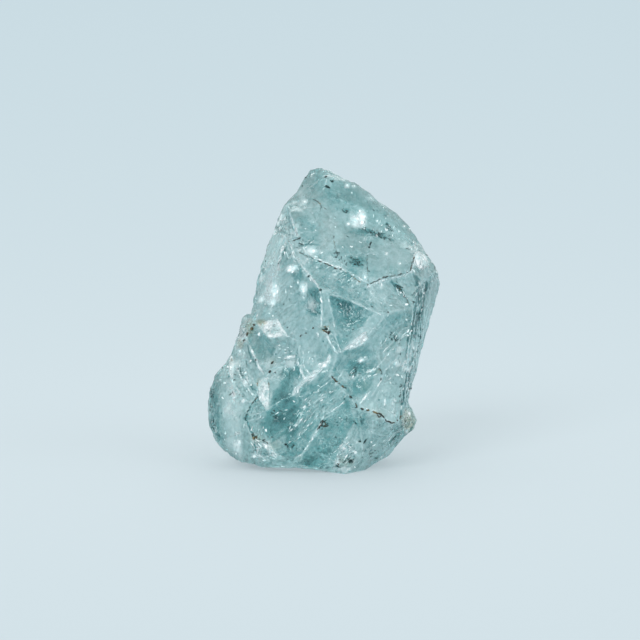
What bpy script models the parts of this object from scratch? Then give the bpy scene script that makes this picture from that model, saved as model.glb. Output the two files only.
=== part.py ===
"""A rough aquamarine crystal of 24 carats, standing on its broken base.

The stone is one closed solid. It is drawn from its named corners, and each of its faces is
spanned over the corners that bound it, as a broken face of beryl is: nearly flat, with a
slight shell-like swell or hollow. Distances in the tables are millimetres. A corner is given
as it lies in the plane of the stone's broad side: across to the right, up, and depth away
from the viewer. The whole plane then leans back on the base.
"""
import math

import bmesh
import bpy
import numpy as np
from mathutils import Vector
from mathutils import noise
from mathutils.geometry import delaunay_2d_cdt

# Driving dimensions
MM = 0.001
WEIGHT_CARATS = 24.0
GRAMS_PER_CARAT = 0.2
DENSITY_GRAMS_PER_CM3 = 2.70
LEAN_DEG = 8.0
SOLE_UP = 0.42
FACE_STEP = 0.52
EDGE_CLEARANCE = 0.55

# Slight unevenness that all the faces share, and how far the ridges are blunted
WOBBLE_SIZE = 1.7
WOBBLE_HEIGHT = 0.06
PITTING_SIZE = 0.55
PITTING_HEIGHT = 0.02
WOBBLE_STARTS = 0.25
WOBBLE_FULL = 1.0
RIDGE_BLUNTING = 0.2

# Beryl
STONE_COLOUR = (0.33, 0.60, 0.61, 1.0)
STONE_ROUGHNESS = 0.14
STONE_IOR = 1.577
STONE_TRANSMISSION = 0.85

# The outer rim, clockwise from the tip
RIM = {
    "tip_left": (-0.9, 21.2, 0.7),
    "tip": (-0.2, 21.4, 0.8),
    "tip_right": (0.5, 21.2, 0.8),
    "brow_1": (1.1, 20.8, 0.8),
    "brow_2": (2.2, 20.3, 0.5),
    "brow_3": (3.3, 19.6, 0.6),
    "brow_4": (4.2, 18.8, 0.9),
    "brow_5": (5.2, 18.2, 1.0),
    "brow_6": (6.0, 17.4, 0.8),
    "brow_7": (6.8, 16.1, 0.5),
    "shoulder_1": (7.5, 15.0, 0.4),
    "shoulder_2": (8.1, 14.0, 0.7),
    "shoulder_3": (8.3, 13.2, 1.1),
    "flank_1": (8.0, 12.2, 1.2),
    "flank_2": (7.6, 10.9, 1.0),
    "flank_3": (7.2, 9.6, 0.8),
    "flank_4": (6.9, 8.5, 0.7),
    "flank_5": (6.7, 7.5, 0.8),
    "flank_6": (6.3, 6.1, 1.0),
    "flank_7": (6.0, 4.9, 0.7),
    "nub_1": (6.2, 4.2, 0.3),
    "nub_2": (6.7, 3.6, 0.0),
    "nub_3": (6.4, 3.0, 0.1),
    "nub_4": (5.7, 2.4, 0.3),
    "heel_1": (5.1, 1.6, 0.3),
    "heel_2": (4.6, 1.1, 0.0),
    "heel_3": (3.8, 0.7, -0.5),
    "foot_1": (-2.0, 0.5, -2.9),
    "foot_2": (-3.9, 0.35, -2.6),
    "foot_3": (-5.3, 0.65, -1.8),
    "toe_1": (-6.2, 0.9, -0.9),
    "toe_2": (-7.0, 1.5, -0.3),
    "toe_3": (-7.7, 2.2, 0.2),
    "lobe_1": (-8.0, 3.1, 0.5),
    "lobe_2": (-8.2, 4.3, 0.8),
    "lobe_3": (-8.1, 5.5, 0.9),
    "lobe_4": (-7.7, 6.7, 0.8),
    "lobe_5": (-7.1, 7.5, 0.6),
    "waist_1": (-6.5, 8.3, 0.3),
    "waist_2": (-6.2, 9.2, 0.2),
    "notch_1": (-5.9, 10.2, 0.2),
    "notch_2": (-5.8, 10.8, 0.4),
    "notch_3": (-5.4, 11.1, 0.7),
    "notch_4": (-5.1, 11.1, 0.9),
    "cheek_1": (-5.0, 12.0, 1.1),
    "cheek_2": (-4.7, 13.5, 1.1),
    "cheek_3": (-4.4, 14.7, 1.0),
    "cheek_4": (-3.9, 16.1, 0.9),
    "cheek_5": (-3.5, 17.0, 0.8),
    "cheek_6": (-3.2, 17.8, 0.7),
    "cheek_7": (-2.7, 18.8, 0.8),
    "cheek_8": (-1.9, 19.7, 0.9),
    "cheek_9": (-1.4, 20.7, 0.9),
}

# The front: the top face ends at a vee-shaped break, and the broken faces lie below it
FRONT = {
    "tip_front": (0.3, 20.7, -0.4),
    "brow_in": (4.0, 17.5, -0.9),
    "crest": (-2.4, 18.3, -1.9),
    "crest_bend": (-1.8, 16.6, -3.1),
    "chip_low": (-2.9, 16.1, -1.9),
    "fold_left": (-3.5, 14.4, -2.1),
    "fold_1": (-2.1, 15.2, -3.3),
    "fold_2": (-1.2, 14.0, -4.3),
    "vee_1": (-0.9, 15.1, -3.7),
    "vee_2": (1.1, 14.3, -4.4),
    "vee_low": (3.1, 13.2, -4.7),
    "vee_3": (5.0, 13.9, -3.9),
    "vee_4": (6.1, 14.2, -3.1),
    "vee_5": (6.5, 15.3, -2.2),
    "gloss": (7.1, 14.8, -1.5),
    "dark_tip": (7.0, 13.5, -2.2),
    "edge_1": (6.5, 13.0, -3.1),
    "edge_2": (6.2, 11.4, -3.7),
    "edge_3": (6.1, 9.5, -3.9),
    "edge_4": (5.8, 8.2, -3.7),
    "edge_5": (5.6, 6.5, -3.6),
    "edge_6": (5.6, 5.4, -3.4),
    "outer_1": (7.5, 13.4, -0.5),
    "outer_2": (7.0, 10.6, -0.9),
    "outer_3": (6.8, 9.3, -1.2),
    "outer_4": (6.5, 7.6, -1.5),
    "fold_end": (-0.3, 12.9, -5.3),
    "strip_mid": (-0.1, 10.7, -5.5),
    "ring": (-0.2, 9.9, -5.2),
    "ring_mid": (-0.8, 10.1, -4.7),
    "crack_mid": (-1.6, 9.6, -4.1),
    "ring_left": (-1.9, 9.3, -3.8),
    "window_left": (0.3, 12.6, -5.5),
    "window_side": (0.4, 10.3, -5.3),
    "window_foot": (1.0, 8.4, -5.9),
    "window_right": (3.6, 11.3, -5.3),
    "band_top": (4.4, 11.2, -4.9),
    "streak_left": (1.3, 8.7, -5.8),
    "streak_low": (2.6, 8.9, -5.5),
    "streak_right": (3.2, 9.4, -5.3),
    "streak_top": (2.9, 9.8, -5.5),
    "band_low": (3.7, 8.3, -5.0),
    "panel_right": (5.2, 8.5, -4.3),
    "panel_low": (3.8, 7.3, -5.0),
    "glade_low": (2.0, 6.3, -5.2),
    "seam_1": (0.4, 6.9, -5.6),
    "seam_2": (1.5, 5.8, -5.8),
    "seam_3": (1.9, 5.2, -5.8),
    "seam_4": (2.4, 4.5, -5.5),
    "seam_5": (3.8, 4.1, -5.0),
    "seam_6": (4.8, 3.4, -4.3),
    "seam_7": (5.4, 3.9, -3.1),
    "nub_top": (5.7, 4.6, -2.5),
    "nub_in": (5.4, 3.2, -2.5),
    "nub_front": (6.0, 3.5, -1.9),
    "spark_1": (0.4, 7.9, -5.6),
    "spark_2": (-0.9, 6.7, -5.2),
    "spark_3": (-1.4, 6.3, -4.9),
    "spark_4": (-2.0, 5.7, -4.6),
    "quad_left": (-4.8, 10.5, -1.2),
    "quad_top": (-3.4, 10.8, -2.6),
    "quad_right": (-2.5, 9.5, -3.7),
    "quad_low": (-4.0, 9.5, -3.3),
    "kite_left": (-5.4, 9.2, -1.5),
    "kite_side": (-4.8, 8.0, -2.5),
    "kite_low": (-4.2, 7.5, -2.9),
    "kite_right": (-3.3, 8.9, -3.1),
    "crackle": (-3.5, 7.8, -3.0),
    "stain_low": (-5.8, 9.0, -0.9),
    "tile_top": (-4.0, 6.7, -2.9),
    "tile_left": (-4.7, 6.5, -2.7),
    "tile_side": (-4.5, 5.7, -3.2),
    "tile_low": (-4.0, 4.4, -4.1),
    "tile_right": (-3.9, 5.8, -3.6),
    "lobe_line_1": (-6.6, 6.9, -1.3),
    "lobe_line_2": (-6.2, 6.0, -2.0),
    "lobe_line_3": (-5.4, 5.0, -2.9),
    "plate_top": (-4.7, 5.3, -3.0),
    "plate_left": (-5.5, 3.8, -3.0),
    "plate_low": (-4.9, 2.4, -3.1),
    "plate_foot": (-4.2, 1.9, -3.4),
    "plate_toe": (-3.3, 1.2, -3.3),
    "grey_1": (0.8, 4.4, -5.6),
    "grey_2": (-0.1, 3.8, -5.3),
    "grey_3": (-0.6, 2.7, -4.9),
    "grey_4": (-1.3, 1.5, -4.2),
    "frost_top": (2.1, 3.4, -4.5),
    "frost_1": (1.5, 2.3, -4.0),
    "frost_2": (0.7, 0.6, -3.2),
    "frost_right": (2.6, 2.9, -4.3),
    "frost_low": (2.7, 1.3, -3.2),
    "heel_in": (4.0, 1.6, -2.3),
}

# The back, which is broken into larger and plainer faces
BACK = {
    "back_tip": (0.1, 20.9, 1.9),
    "back_crown": (0.4, 18.4, 4.2),
    "back_brow": (3.4, 16.3, 4.6),
    "back_shoulder": (5.7, 13.8, 4.1),
    "back_cheek": (-1.8, 16.0, 3.9),
    "back_side": (-2.9, 12.4, 4.6),
    "back_mid": (0.6, 13.4, 5.9),
    "back_mid_right": (3.6, 11.6, 5.6),
    "back_flank": (6.0, 9.4, 4.2),
    "back_notch": (-3.9, 9.4, 3.8),
    "back_hip": (-1.2, 8.6, 6.2),
    "back_spine": (1.8, 7.6, 6.6),
    "back_flank_low": (5.3, 5.4, 4.9),
    "back_waist": (-5.4, 7.4, 3.3),
    "back_lobe": (-6.6, 4.6, 3.9),
    "back_lobe_in": (-4.2, 5.0, 5.4),
    "back_belly": (-0.9, 4.4, 6.4),
    "back_belly_right": (2.9, 4.2, 5.8),
    "back_heel": (4.8, 2.6, 3.6),
    "back_toe": (-5.9, 2.2, 3.0),
    "back_foot_left": (-3.9, 2.2, 4.6),
    "back_foot": (-0.6, 1.9, 5.2),
    "back_foot_right": (2.8, 1.9, 4.9),
}

# The flat patch that the stone stands on: across and depth alone
SOLE = {
    "sole_1": (2.9, -1.6),
    "sole_2": (1.5, -3.0),
    "sole_3": (0.8, -2.6),
    "sole_4": (-2.2, 0.3),
    "sole_5": (-4.9, 1.7),
    "sole_6": (-4.8, 3.3),
    "sole_7": (-1.4, 4.4),
    "sole_8": (2.6, 4.2),
    "sole_9": (3.7, 2.4),
    "sole_10": (3.3, 0.4),
}

# Each face: how far its middle swells (or, below zero, is hollowed), and its corners,
# anticlockwise as seen from outside
FACES = {
    "tip_front_face": (0.05, "tip_left cheek_9 cheek_8 tip_front brow_2 brow_1 tip_right tip"),
    "smooth_top": (0.35, "tip_front cheek_8 cheek_7 crest crest_bend vee_1 vee_2 vee_low vee_3 "
                   "vee_4 vee_5 brow_7 brow_6 brow_in brow_2"),
    "brow_face": (0.05, "brow_2 brow_in brow_6 brow_5 brow_4 brow_3"),
    "chip": (-0.25, "crest cheek_7 cheek_6 cheek_5 chip_low crest_bend"),
    "under_chip": (-0.1, "crest_bend chip_low fold_1 vee_1"),
    "left_edge": (-0.08, "chip_low cheek_5 cheek_4 cheek_3 fold_left"),
    "smooth_left": (0.1, "chip_low fold_left cheek_3 cheek_2 cheek_1 notch_4 quad_left quad_top "
                    "quad_right ring_left crack_mid ring_mid ring strip_mid fold_end fold_2 "
                    "fold_1"),
    "middle": (-0.3, "vee_1 fold_1 fold_2 fold_end window_left window_right vee_low vee_2"),
    "ledge": (-0.3, "vee_low window_right band_top edge_2 edge_1 vee_4 vee_3"),
    "dark_corner": (-0.05, "vee_4 edge_1 dark_tip"),
    "gloss_facet": (0.0, "vee_5 vee_4 dark_tip gloss"),
    "shoulder": (0.0, "vee_5 gloss dark_tip shoulder_2 shoulder_1 brow_7"),
    "prism_face": (-0.15, "dark_tip edge_1 edge_2 edge_3 outer_3 outer_2 outer_1"),
    "prism_edge": (0.0, "dark_tip outer_1 outer_2 outer_3 flank_4 flank_3 flank_2 flank_1 "
                   "shoulder_3 shoulder_2"),
    "frosted_flank": (-0.15, "edge_3 edge_4 outer_4 flank_4 outer_3"),
    "ribbed_flank": (-0.15, "edge_4 edge_5 edge_6 nub_top flank_7 flank_6 flank_5 flank_4 "
                     "outer_4"),
    "strip": (0.04, "fold_end strip_mid ring window_foot window_side window_left"),
    "window": (-0.55, "window_left window_side window_foot window_right"),
    "band": (0.0, "window_right window_foot streak_left streak_top band_top"),
    "streak": (-0.03, "streak_left streak_low streak_right streak_top"),
    "right_panel": (-0.12, "band_top streak_top streak_right band_low panel_low panel_right "
                    "edge_3 edge_2"),
    "glade": (-0.4, "window_foot seam_1 glade_low panel_low band_low streak_right streak_low "
              "streak_left"),
    "grey_corner": (-0.1, "seam_1 seam_2 seam_3 seam_4 panel_low glade_low"),
    "apron": (-0.2, "panel_right panel_low seam_4 seam_5 seam_6 seam_7 nub_top edge_6 edge_5 "
              "edge_4 edge_3"),
    "nub_inner": (0.04, "nub_top seam_7 nub_in nub_front"),
    "nub_upper": (0.06, "nub_top nub_front nub_2 nub_1 flank_7"),
    "nub_lower": (0.05, "nub_in nub_4 nub_3 nub_front"),
    "nub_nose": (0.03, "nub_front nub_3 nub_2"),
    "centre": (-0.25, "ring_left spark_3 spark_2 spark_1 window_foot ring ring_mid crack_mid"),
    "core": (-0.6, "ring_left quad_right kite_right crackle tile_top tile_right tile_low "
             "spark_4 spark_3"),
    "hackle_face": (-0.25, "window_foot spark_1 spark_2 spark_3 spark_4 tile_low plate_foot "
                    "plate_toe foot_1 grey_4 grey_3 grey_2 grey_1 seam_3 seam_2 seam_1"),
    "white_quad": (-0.1, "quad_top quad_left quad_low quad_right"),
    "quad_wedge": (0.0, "quad_low kite_right quad_right"),
    "kite": (-0.3, "quad_left kite_left kite_side kite_low crackle kite_right quad_low"),
    "kite_wedge": (0.0, "kite_low tile_left tile_top crackle"),
    "white_tile": (-0.1, "tile_top tile_left tile_side tile_low tile_right"),
    "plate": (-0.1, "tile_side plate_top plate_left plate_low plate_foot tile_low"),
    "stained_band": (-0.1, "notch_4 notch_3 notch_2 notch_1 waist_2 stain_low kite_left "
                     "quad_left"),
    "waist_chip": (0.0, "waist_2 waist_1 stain_low"),
    "sliver": (-0.3, "kite_left stain_low waist_1 lobe_line_1 lobe_line_2 lobe_line_3 "
               "plate_top tile_side tile_left kite_low kite_side"),
    "lobe": (0.7, "waist_1 lobe_5 lobe_4 lobe_3 lobe_2 lobe_1 toe_3 toe_2 toe_1 foot_3 "
             "plate_low plate_left plate_top lobe_line_3 lobe_line_2 lobe_line_1"),
    "shards": (0.0, "plate_foot plate_low foot_3 foot_2 plate_toe"),
    "toe_sliver": (0.0, "plate_toe foot_2 foot_1"),
    "grey_face": (-0.15, "seam_3 grey_1 grey_2 grey_3 grey_4 foot_1 sole_3 frost_2 frost_1 "
                  "frost_top seam_4"),
    "frosted_face": (-0.1, "seam_4 frost_top frost_1 frost_2 sole_3 sole_2 frost_low "
                     "frost_right"),
    "clouded_face": (-0.15, "seam_4 frost_right frost_low heel_in seam_6 seam_5"),
    "heel_front": (-0.05, "sole_2 sole_1 heel_3 heel_2 heel_in frost_low"),
    "heel_ribs": (-0.1, "seam_6 heel_in heel_2 heel_1 nub_4 nub_in seam_7"),
    "undercut": (0.05, "sole_3 foot_1 foot_2 foot_3 toe_1 sole_5 sole_4"),
    "back_tip_face": (0.05, "cheek_9 tip_left tip tip_right brow_1 back_tip"),
    "back_crown_face": (0.3, "cheek_9 back_tip brow_1 brow_2 back_crown cheek_8"),
    "back_brow_face": (-0.1, "brow_2 brow_3 brow_4 back_brow back_crown"),
    "back_brow_low": (-0.15, "brow_4 brow_5 brow_6 brow_7 back_shoulder back_brow"),
    "back_shoulder_face": (-0.1, "brow_7 shoulder_1 shoulder_2 shoulder_3 flank_1 "
                           "back_shoulder"),
    "back_prism_face": (0.0, "flank_1 flank_2 flank_3 back_flank back_shoulder"),
    "back_prism_low": (-0.15, "flank_3 flank_4 flank_5 flank_6 back_flank_low back_flank"),
    "back_nub_side": (-0.12, "flank_6 flank_7 nub_1 back_heel back_flank_low"),
    "back_nub": (0.05, "nub_1 nub_2 nub_3 nub_4 back_heel"),
    "heel_under": (-0.05, "nub_4 heel_1 heel_2 heel_3 sole_1 sole_10 sole_9 back_heel"),
    "back_high": (-0.25, "back_crown back_brow back_shoulder back_mid_right back_mid"),
    "back_right_wedge": (0.0, "back_shoulder back_flank back_mid_right"),
    "back_right": (-0.25, "back_mid_right back_flank back_flank_low back_spine"),
    "back_middle": (-0.35, "back_mid back_mid_right back_spine back_hip"),
    "back_cheek_top": (-0.1, "cheek_8 back_crown back_cheek cheek_5 cheek_6 cheek_7"),
    "back_left_high": (-0.2, "back_cheek back_crown back_mid back_side"),
    "back_cheek_face": (-0.12, "cheek_5 back_cheek back_side cheek_2 cheek_3 cheek_4"),
    "back_notch_face": (-0.15, "cheek_2 back_side back_notch notch_2 notch_3 notch_4 cheek_1"),
    "back_left": (-0.25, "back_side back_mid back_hip back_notch"),
    "back_waist_face": (-0.1, "notch_2 back_notch back_waist waist_1 waist_2 notch_1"),
    "back_hollow": (-0.35, "back_notch back_hip back_lobe_in back_waist"),
    "back_lobe_top": (-0.05, "waist_1 back_waist back_lobe lobe_3 lobe_4 lobe_5"),
    "back_lobe_wedge": (0.0, "back_waist back_lobe_in back_lobe"),
    "back_lobe_side": (-0.05, "lobe_3 back_lobe back_toe toe_3 lobe_1 lobe_2"),
    "back_lobe_low": (-0.1, "back_lobe back_lobe_in back_foot_left back_toe"),
    "back_belly_face": (-0.25, "back_hip back_spine back_belly back_lobe_in"),
    "back_belly_side": (-0.2, "back_spine back_flank_low back_belly_right back_belly"),
    "back_heel_wedge": (0.0, "back_flank_low back_heel back_belly_right"),
    "back_low_left": (-0.12, "back_lobe_in back_belly back_foot back_foot_left"),
    "back_low_right": (-0.12, "back_belly back_belly_right back_foot_right back_foot"),
    "back_heel_face": (-0.05, "back_belly_right back_heel sole_9 sole_8 back_foot_right"),
    "back_foot_face": (-0.04, "back_foot back_foot_right sole_8 sole_7"),
    "back_foot_side": (-0.04, "back_foot_left back_foot sole_7 sole_6"),
    "toe_under": (-0.05, "back_toe back_foot_left sole_6 sole_5 toe_1 toe_2 toe_3"),
    "sole": (0.0, "sole_1 sole_2 sole_3 sole_4 sole_5 sole_6 sole_7 sole_8 sole_9 sole_10"),
}


def clear_scene():
    """Take away whatever the file opened with."""
    for thing in list(bpy.data.objects):
        bpy.data.objects.remove(thing, do_unlink=True)


def standing(across, up, depth):
    """Lean a point of the broad side's plane back on the base; the base is at height 0."""
    lean = math.radians(LEAN_DEG)
    away = up * math.sin(lean) + depth * math.cos(lean)
    height = (up - SOLE_UP) * math.cos(lean) - depth * math.sin(lean)
    return Vector((across, away, height))


def on_sole(across, depth):
    """A corner of the flat patch, which lies level under the leaning stone."""
    up = SOLE_UP + depth * math.tan(math.radians(LEAN_DEG))
    return standing(across, up, depth)


def corner_points():
    """Where each named corner is."""
    points = {}
    for table in (RIM, FRONT, BACK):
        for name, place in table.items():
            points[name] = standing(*place)
    for name, place in SOLE.items():
        points[name] = on_sole(*place)
    return points


def edge_vertices(mesh, corners, edges, start, end):
    """The vertices from one corner to the next, shared by the two faces that meet there."""
    key = tuple(sorted((start, end)))
    if key not in edges:
        first = corners[key[0]]
        last = corners[key[1]]
        steps = max(1, round((last.co - first.co).length / FACE_STEP))
        between = [mesh.verts.new(first.co.lerp(last.co, i / steps)) for i in range(1, steps)]
        edges[key] = [first, *between, last]
    run = edges[key]
    return run if key[0] == start else run[::-1]


def face_axes(points):
    """A face's mean normal, and two directions that lie in it."""
    normal = Vector()
    for here, there in zip(points, points[1:] + points[:1]):
        normal += here.cross(there)
    normal.normalize()
    along = (points[1] - points[0]).normalized()
    along = (along - normal * along.dot(normal)).normalized()
    return along, normal.cross(along), normal


def distance_to_ring(spot, ring):
    """How far a flat point is from the nearest stretch of its face's boundary."""
    starts = np.array(ring)
    runs = np.roll(starts, -1, axis=0) - starts
    share = ((spot - starts) * runs).sum(axis=1) / (runs * runs).sum(axis=1)
    nearest = starts + np.clip(share, 0.0, 1.0)[:, None] * runs
    return np.sqrt(((spot - nearest) ** 2).sum(axis=1)).min()


def is_inside(spot, ring):
    """Whether a flat point lies within its face's boundary."""
    inside = False
    for (ax, ay), (bx, by) in zip(ring, ring[1:] + ring[:1]):
        if (ay > spot[1]) != (by > spot[1]):
            crossing = ax + (spot[1] - ay) * (bx - ax) / (by - ay)
            inside = inside != (spot[0] < crossing)
    return inside


def inner_spots(ring):
    """Evenly spread flat points within a face, clear of its boundary."""
    low = np.min(ring, axis=0)
    high = np.max(ring, axis=0)
    row_height = FACE_STEP * math.sqrt(3) / 2
    spots = []
    for row in range(int((high[1] - low[1]) / row_height) + 1):
        shift = FACE_STEP * 0.5 * (row % 2)
        for column in range(int((high[0] - low[0]) / FACE_STEP) + 2):
            spot = np.array((low[0] + shift + column * FACE_STEP, low[1] + row * row_height))
            if is_inside(spot, ring) and distance_to_ring(spot, ring) > EDGE_CLEARANCE * FACE_STEP:
                spots.append(spot)
    return spots


def stretched_heights(triangles, ring_heights, count, swell):
    """Heights of a skin stretched over the boundary, raised in the middle by the swell."""
    fixed = len(ring_heights)
    heights = np.concatenate([ring_heights, np.zeros(count - fixed)])
    if count == fixed:
        return heights
    links = np.zeros((count, count))
    for a, b, c in triangles:
        for here, there in ((a, b), (b, c), (c, a)):
            links[here, there] = -1.0
            links[there, here] = -1.0
    np.fill_diagonal(links, -links.sum(axis=1))
    inner = links[fixed:, fixed:]
    pull = -links[fixed:, :fixed] @ heights[:fixed]
    dome = np.linalg.solve(inner, np.ones(count - fixed))
    heights[fixed:] = np.linalg.solve(inner, pull) + swell * dome / dome.max()
    return heights


def span_face(mesh, ring, swell):
    """Fill one face of the stone with triangles over its boundary vertices."""
    points = [vertex.co.copy() for vertex in ring]
    along, across, normal = face_axes(points)
    flat_ring = [(p.dot(along), p.dot(across)) for p in points]
    flat = flat_ring + [tuple(spot) for spot in inner_spots(flat_ring)]
    loop = list(range(len(ring)))
    cut = delaunay_2d_cdt([Vector(spot) for spot in flat], [], [loop], 1, 1e-6)
    origin = [sources[0] for sources in cut[3]]
    triangles = [[origin[i] for i in triangle] for triangle in cut[2]]
    ring_heights = np.array([p.dot(normal) for p in points])
    heights = stretched_heights(triangles, ring_heights, len(flat), swell)
    vertices = list(ring)
    for (x, y), height in list(zip(flat, heights))[len(ring):]:
        vertices.append(mesh.verts.new(along * x + across * y + normal * height))
    for triangle in triangles:
        mesh.faces.new([vertices[i] for i in triangle])


def weather(mesh):
    """Blunt the ridges and make the faces slightly uneven, and leave the flat patch alone."""
    above = [vertex for vertex in mesh.verts if vertex.co.z > WOBBLE_STARTS]
    bmesh.ops.smooth_vert(mesh, verts=above, factor=RIDGE_BLUNTING,
                          use_axis_x=True, use_axis_y=True, use_axis_z=True)
    for vertex in above:
        share = (vertex.co.z - WOBBLE_STARTS) / (WOBBLE_FULL - WOBBLE_STARTS)
        share = min(max(share, 0.0), 1.0)
        wobble = noise.noise_vector(vertex.co / WOBBLE_SIZE) * WOBBLE_HEIGHT
        pitting = noise.noise_vector(vertex.co / PITTING_SIZE) * PITTING_HEIGHT
        vertex.co += (wobble + pitting) * share


def bring_to_weight(mesh):
    """Scale the stone so that its volume of beryl weighs what it should."""
    wanted = WEIGHT_CARATS * GRAMS_PER_CARAT / DENSITY_GRAMS_PER_CM3 * 1000.0
    factor = (wanted / mesh.calc_volume()) ** (1.0 / 3.0)
    bmesh.ops.scale(mesh, vec=(factor * MM,) * 3, verts=mesh.verts)


def centre_on_base(mesh):
    """Put the middle of the stone's box over the origin; the base already lies at height 0."""
    low = [min(v.co[axis] for v in mesh.verts) for axis in range(3)]
    high = [max(v.co[axis] for v in mesh.verts) for axis in range(3)]
    shift = Vector((-(low[0] + high[0]) / 2, -(low[1] + high[1]) / 2, -low[2]))
    bmesh.ops.translate(mesh, vec=shift, verts=mesh.verts)


def beryl():
    """Blue-green beryl, clear but clouded."""
    material = bpy.data.materials.new("aquamarine")
    material.use_nodes = True
    shader = material.node_tree.nodes["Principled BSDF"]
    shader.inputs["Base Color"].default_value = STONE_COLOUR
    shader.inputs["Roughness"].default_value = STONE_ROUGHNESS
    shader.inputs["IOR"].default_value = STONE_IOR
    shader.inputs["Transmission Weight"].default_value = STONE_TRANSMISSION
    return material


def aquamarine_crystal():
    """The stone: its faces spanned, weathered, brought to weight and set on its base."""
    stone = bmesh.new()
    corners = {name: stone.verts.new(place) for name, place in corner_points().items()}
    edges = {}
    for swell, names in FACES.values():
        names = names.split()
        ring = []
        for start, end in zip(names, names[1:] + names[:1]):
            ring += edge_vertices(stone, corners, edges, start, end)[:-1]
        span_face(stone, ring, swell)
    weather(stone)
    bring_to_weight(stone)
    centre_on_base(stone)
    data = bpy.data.meshes.new("aquamarine_crystal")
    stone.to_mesh(data)
    stone.free()
    data.materials.append(beryl())
    crystal = bpy.data.objects.new("aquamarine_crystal", data)
    bpy.context.scene.collection.objects.link(crystal)
    return crystal


clear_scene()
aquamarine_crystal()
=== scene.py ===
import math
import random

import bmesh
import bpy
import numpy as np
from mathutils import Matrix, Vector, noise
from mathutils.bvhtree import BVHTree
from mathutils.kdtree import KDTree


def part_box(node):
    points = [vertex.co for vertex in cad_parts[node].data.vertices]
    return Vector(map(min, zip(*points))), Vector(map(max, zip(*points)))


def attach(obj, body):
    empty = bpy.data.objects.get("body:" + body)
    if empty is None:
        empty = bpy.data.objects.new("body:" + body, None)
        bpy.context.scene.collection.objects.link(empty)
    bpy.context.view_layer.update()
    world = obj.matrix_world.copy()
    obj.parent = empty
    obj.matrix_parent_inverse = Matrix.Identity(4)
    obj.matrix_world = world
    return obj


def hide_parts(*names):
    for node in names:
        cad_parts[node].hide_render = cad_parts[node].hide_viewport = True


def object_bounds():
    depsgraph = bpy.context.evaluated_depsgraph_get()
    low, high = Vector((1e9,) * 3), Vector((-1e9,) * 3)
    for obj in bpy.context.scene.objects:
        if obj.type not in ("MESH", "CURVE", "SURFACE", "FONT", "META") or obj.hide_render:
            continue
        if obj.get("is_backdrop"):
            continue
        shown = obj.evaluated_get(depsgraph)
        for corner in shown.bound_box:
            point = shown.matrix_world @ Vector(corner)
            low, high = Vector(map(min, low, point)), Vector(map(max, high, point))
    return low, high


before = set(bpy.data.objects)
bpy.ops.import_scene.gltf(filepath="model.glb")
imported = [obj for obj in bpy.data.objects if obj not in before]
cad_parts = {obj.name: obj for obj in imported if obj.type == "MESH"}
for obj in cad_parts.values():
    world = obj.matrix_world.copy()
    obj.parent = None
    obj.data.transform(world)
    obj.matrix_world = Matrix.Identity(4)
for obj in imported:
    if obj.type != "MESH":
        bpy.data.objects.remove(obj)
cad_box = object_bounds()
MM = 0.001


# The camera: a long lens that looks down a little on the stone's broad side. Places on the
# stone are given below by where they lie in its square picture, counted from the top left.
PICTURE = 640.0
LENS = 150.0
SENSOR = 36.0
VIEW_FALL = math.radians(8.0)
VIEW_DISTANCE = 189.0 * MM
AIM_ACROSS = -0.28 * MM
AIM_UP = -0.17 * MM

stone_low, stone_high = (Vector(corner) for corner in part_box("aquamarine_crystal"))
stone_middle = (stone_low + stone_high) / 2


def sight(azimuth):
    """Where the eye stands for a side of the stone, and its right, up and backward axes."""
    turn = Matrix.Rotation(math.radians(azimuth), 3, "Z")
    right = turn @ Vector((1.0, 0.0, 0.0))
    back = turn @ Vector((0.0, -math.cos(VIEW_FALL), math.sin(VIEW_FALL)))
    up = back.cross(right)
    aim = stone_middle + right * AIM_ACROSS + up * AIM_UP
    return aim + back * VIEW_DISTANCE, right, up, back


def to_picture(points, azimuth=0.0):
    """Where points of the stone fall in the picture."""
    eye, right, up, back = sight(azimuth)
    local = (points - np.array(eye)) @ np.array((right, up, back)).T
    scale = PICTURE * LENS / SENSOR / -local[:, 2]
    return np.column_stack((PICTURE / 2 + local[:, 0] * scale, PICTURE / 2 - local[:, 1] * scale))


camera_data = bpy.data.cameras.new("camera")
camera_data.lens = LENS
camera_data.sensor_width = SENSOR
camera_data.clip_start = 0.01
camera_data.clip_end = 20.0
camera = bpy.data.objects.new("camera", camera_data)
bpy.context.scene.collection.objects.link(camera)
camera.location, _, _, eye_back = sight(0.0)
camera.rotation_euler = (-eye_back).to_track_quat("-Z", "Y").to_euler()
bpy.context.scene.camera = camera


# The crystal: one broken piece of pale blue-green beryl, as it came out of the ground. Its
# faces are fresh breaks with chipped ridges, streaks and shell-like ripples, and the glassy
# stone is milky in some places and a deeper sea green in others. Its painted tone also holds
# painted light and shade: glints and sheen where its facets catch the light, and shade in its
# hollows, along its edges and on its flanks.
BROAD_EDGE = 0.127
OTHER_EDGE = 0.31
PASSES = 7
RIDGE_ANGLE = math.radians(11.0)
FACE_SPREAD = math.radians(36.0)
RIDGE_STEP = 0.06
KEEP_FLAT_BELOW = 0.35
BROAD_FROM = -0.05
PLAIN_TONE = 0.55
# Painted rim shade on the flanks seen edge on: how much paler it paints them
EDGE_ON_SHADE_TONE = 0.06
# Painted highlight along the chipped ridges: how much paler it paints them
RIDGE_TONE = 0.22
RIB_TONE = 0.29
RIB_DEPTH = 0.022
RIPPLE_DEPTH = 0.07
CHIP_DEPTH = 0.06
SPLINTER_RELIEF = 0.36 * MM
SPECK_RARITY = 0.90
CRACK_FADE = 0.08
BERYL_IOR = 1.577
CLEARNESS = 0.62
DEPTH_OF_COLOUR = 24.0
SEA_GREEN = (0.30, 0.80, 0.83, 1.0)
# The tint of the painted rim shade
EDGE_ON_SHADE_TINT = (0.74, 0.97, 0.975, 1.0)
STAIN_TINT = (0.62, 0.50, 0.30, 1.0)
TONES = (
    (0.10, (0.010, 0.105, 0.115, 1.0)),
    (0.33, (0.10, 0.335, 0.342, 1.0)),
    (0.55, (0.445, 0.650, 0.655, 1.0)),
    (0.75, (0.70, 0.88, 0.89, 1.0)),
    (1.0, (0.96, 0.99, 1.0, 1.0)),
)
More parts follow.
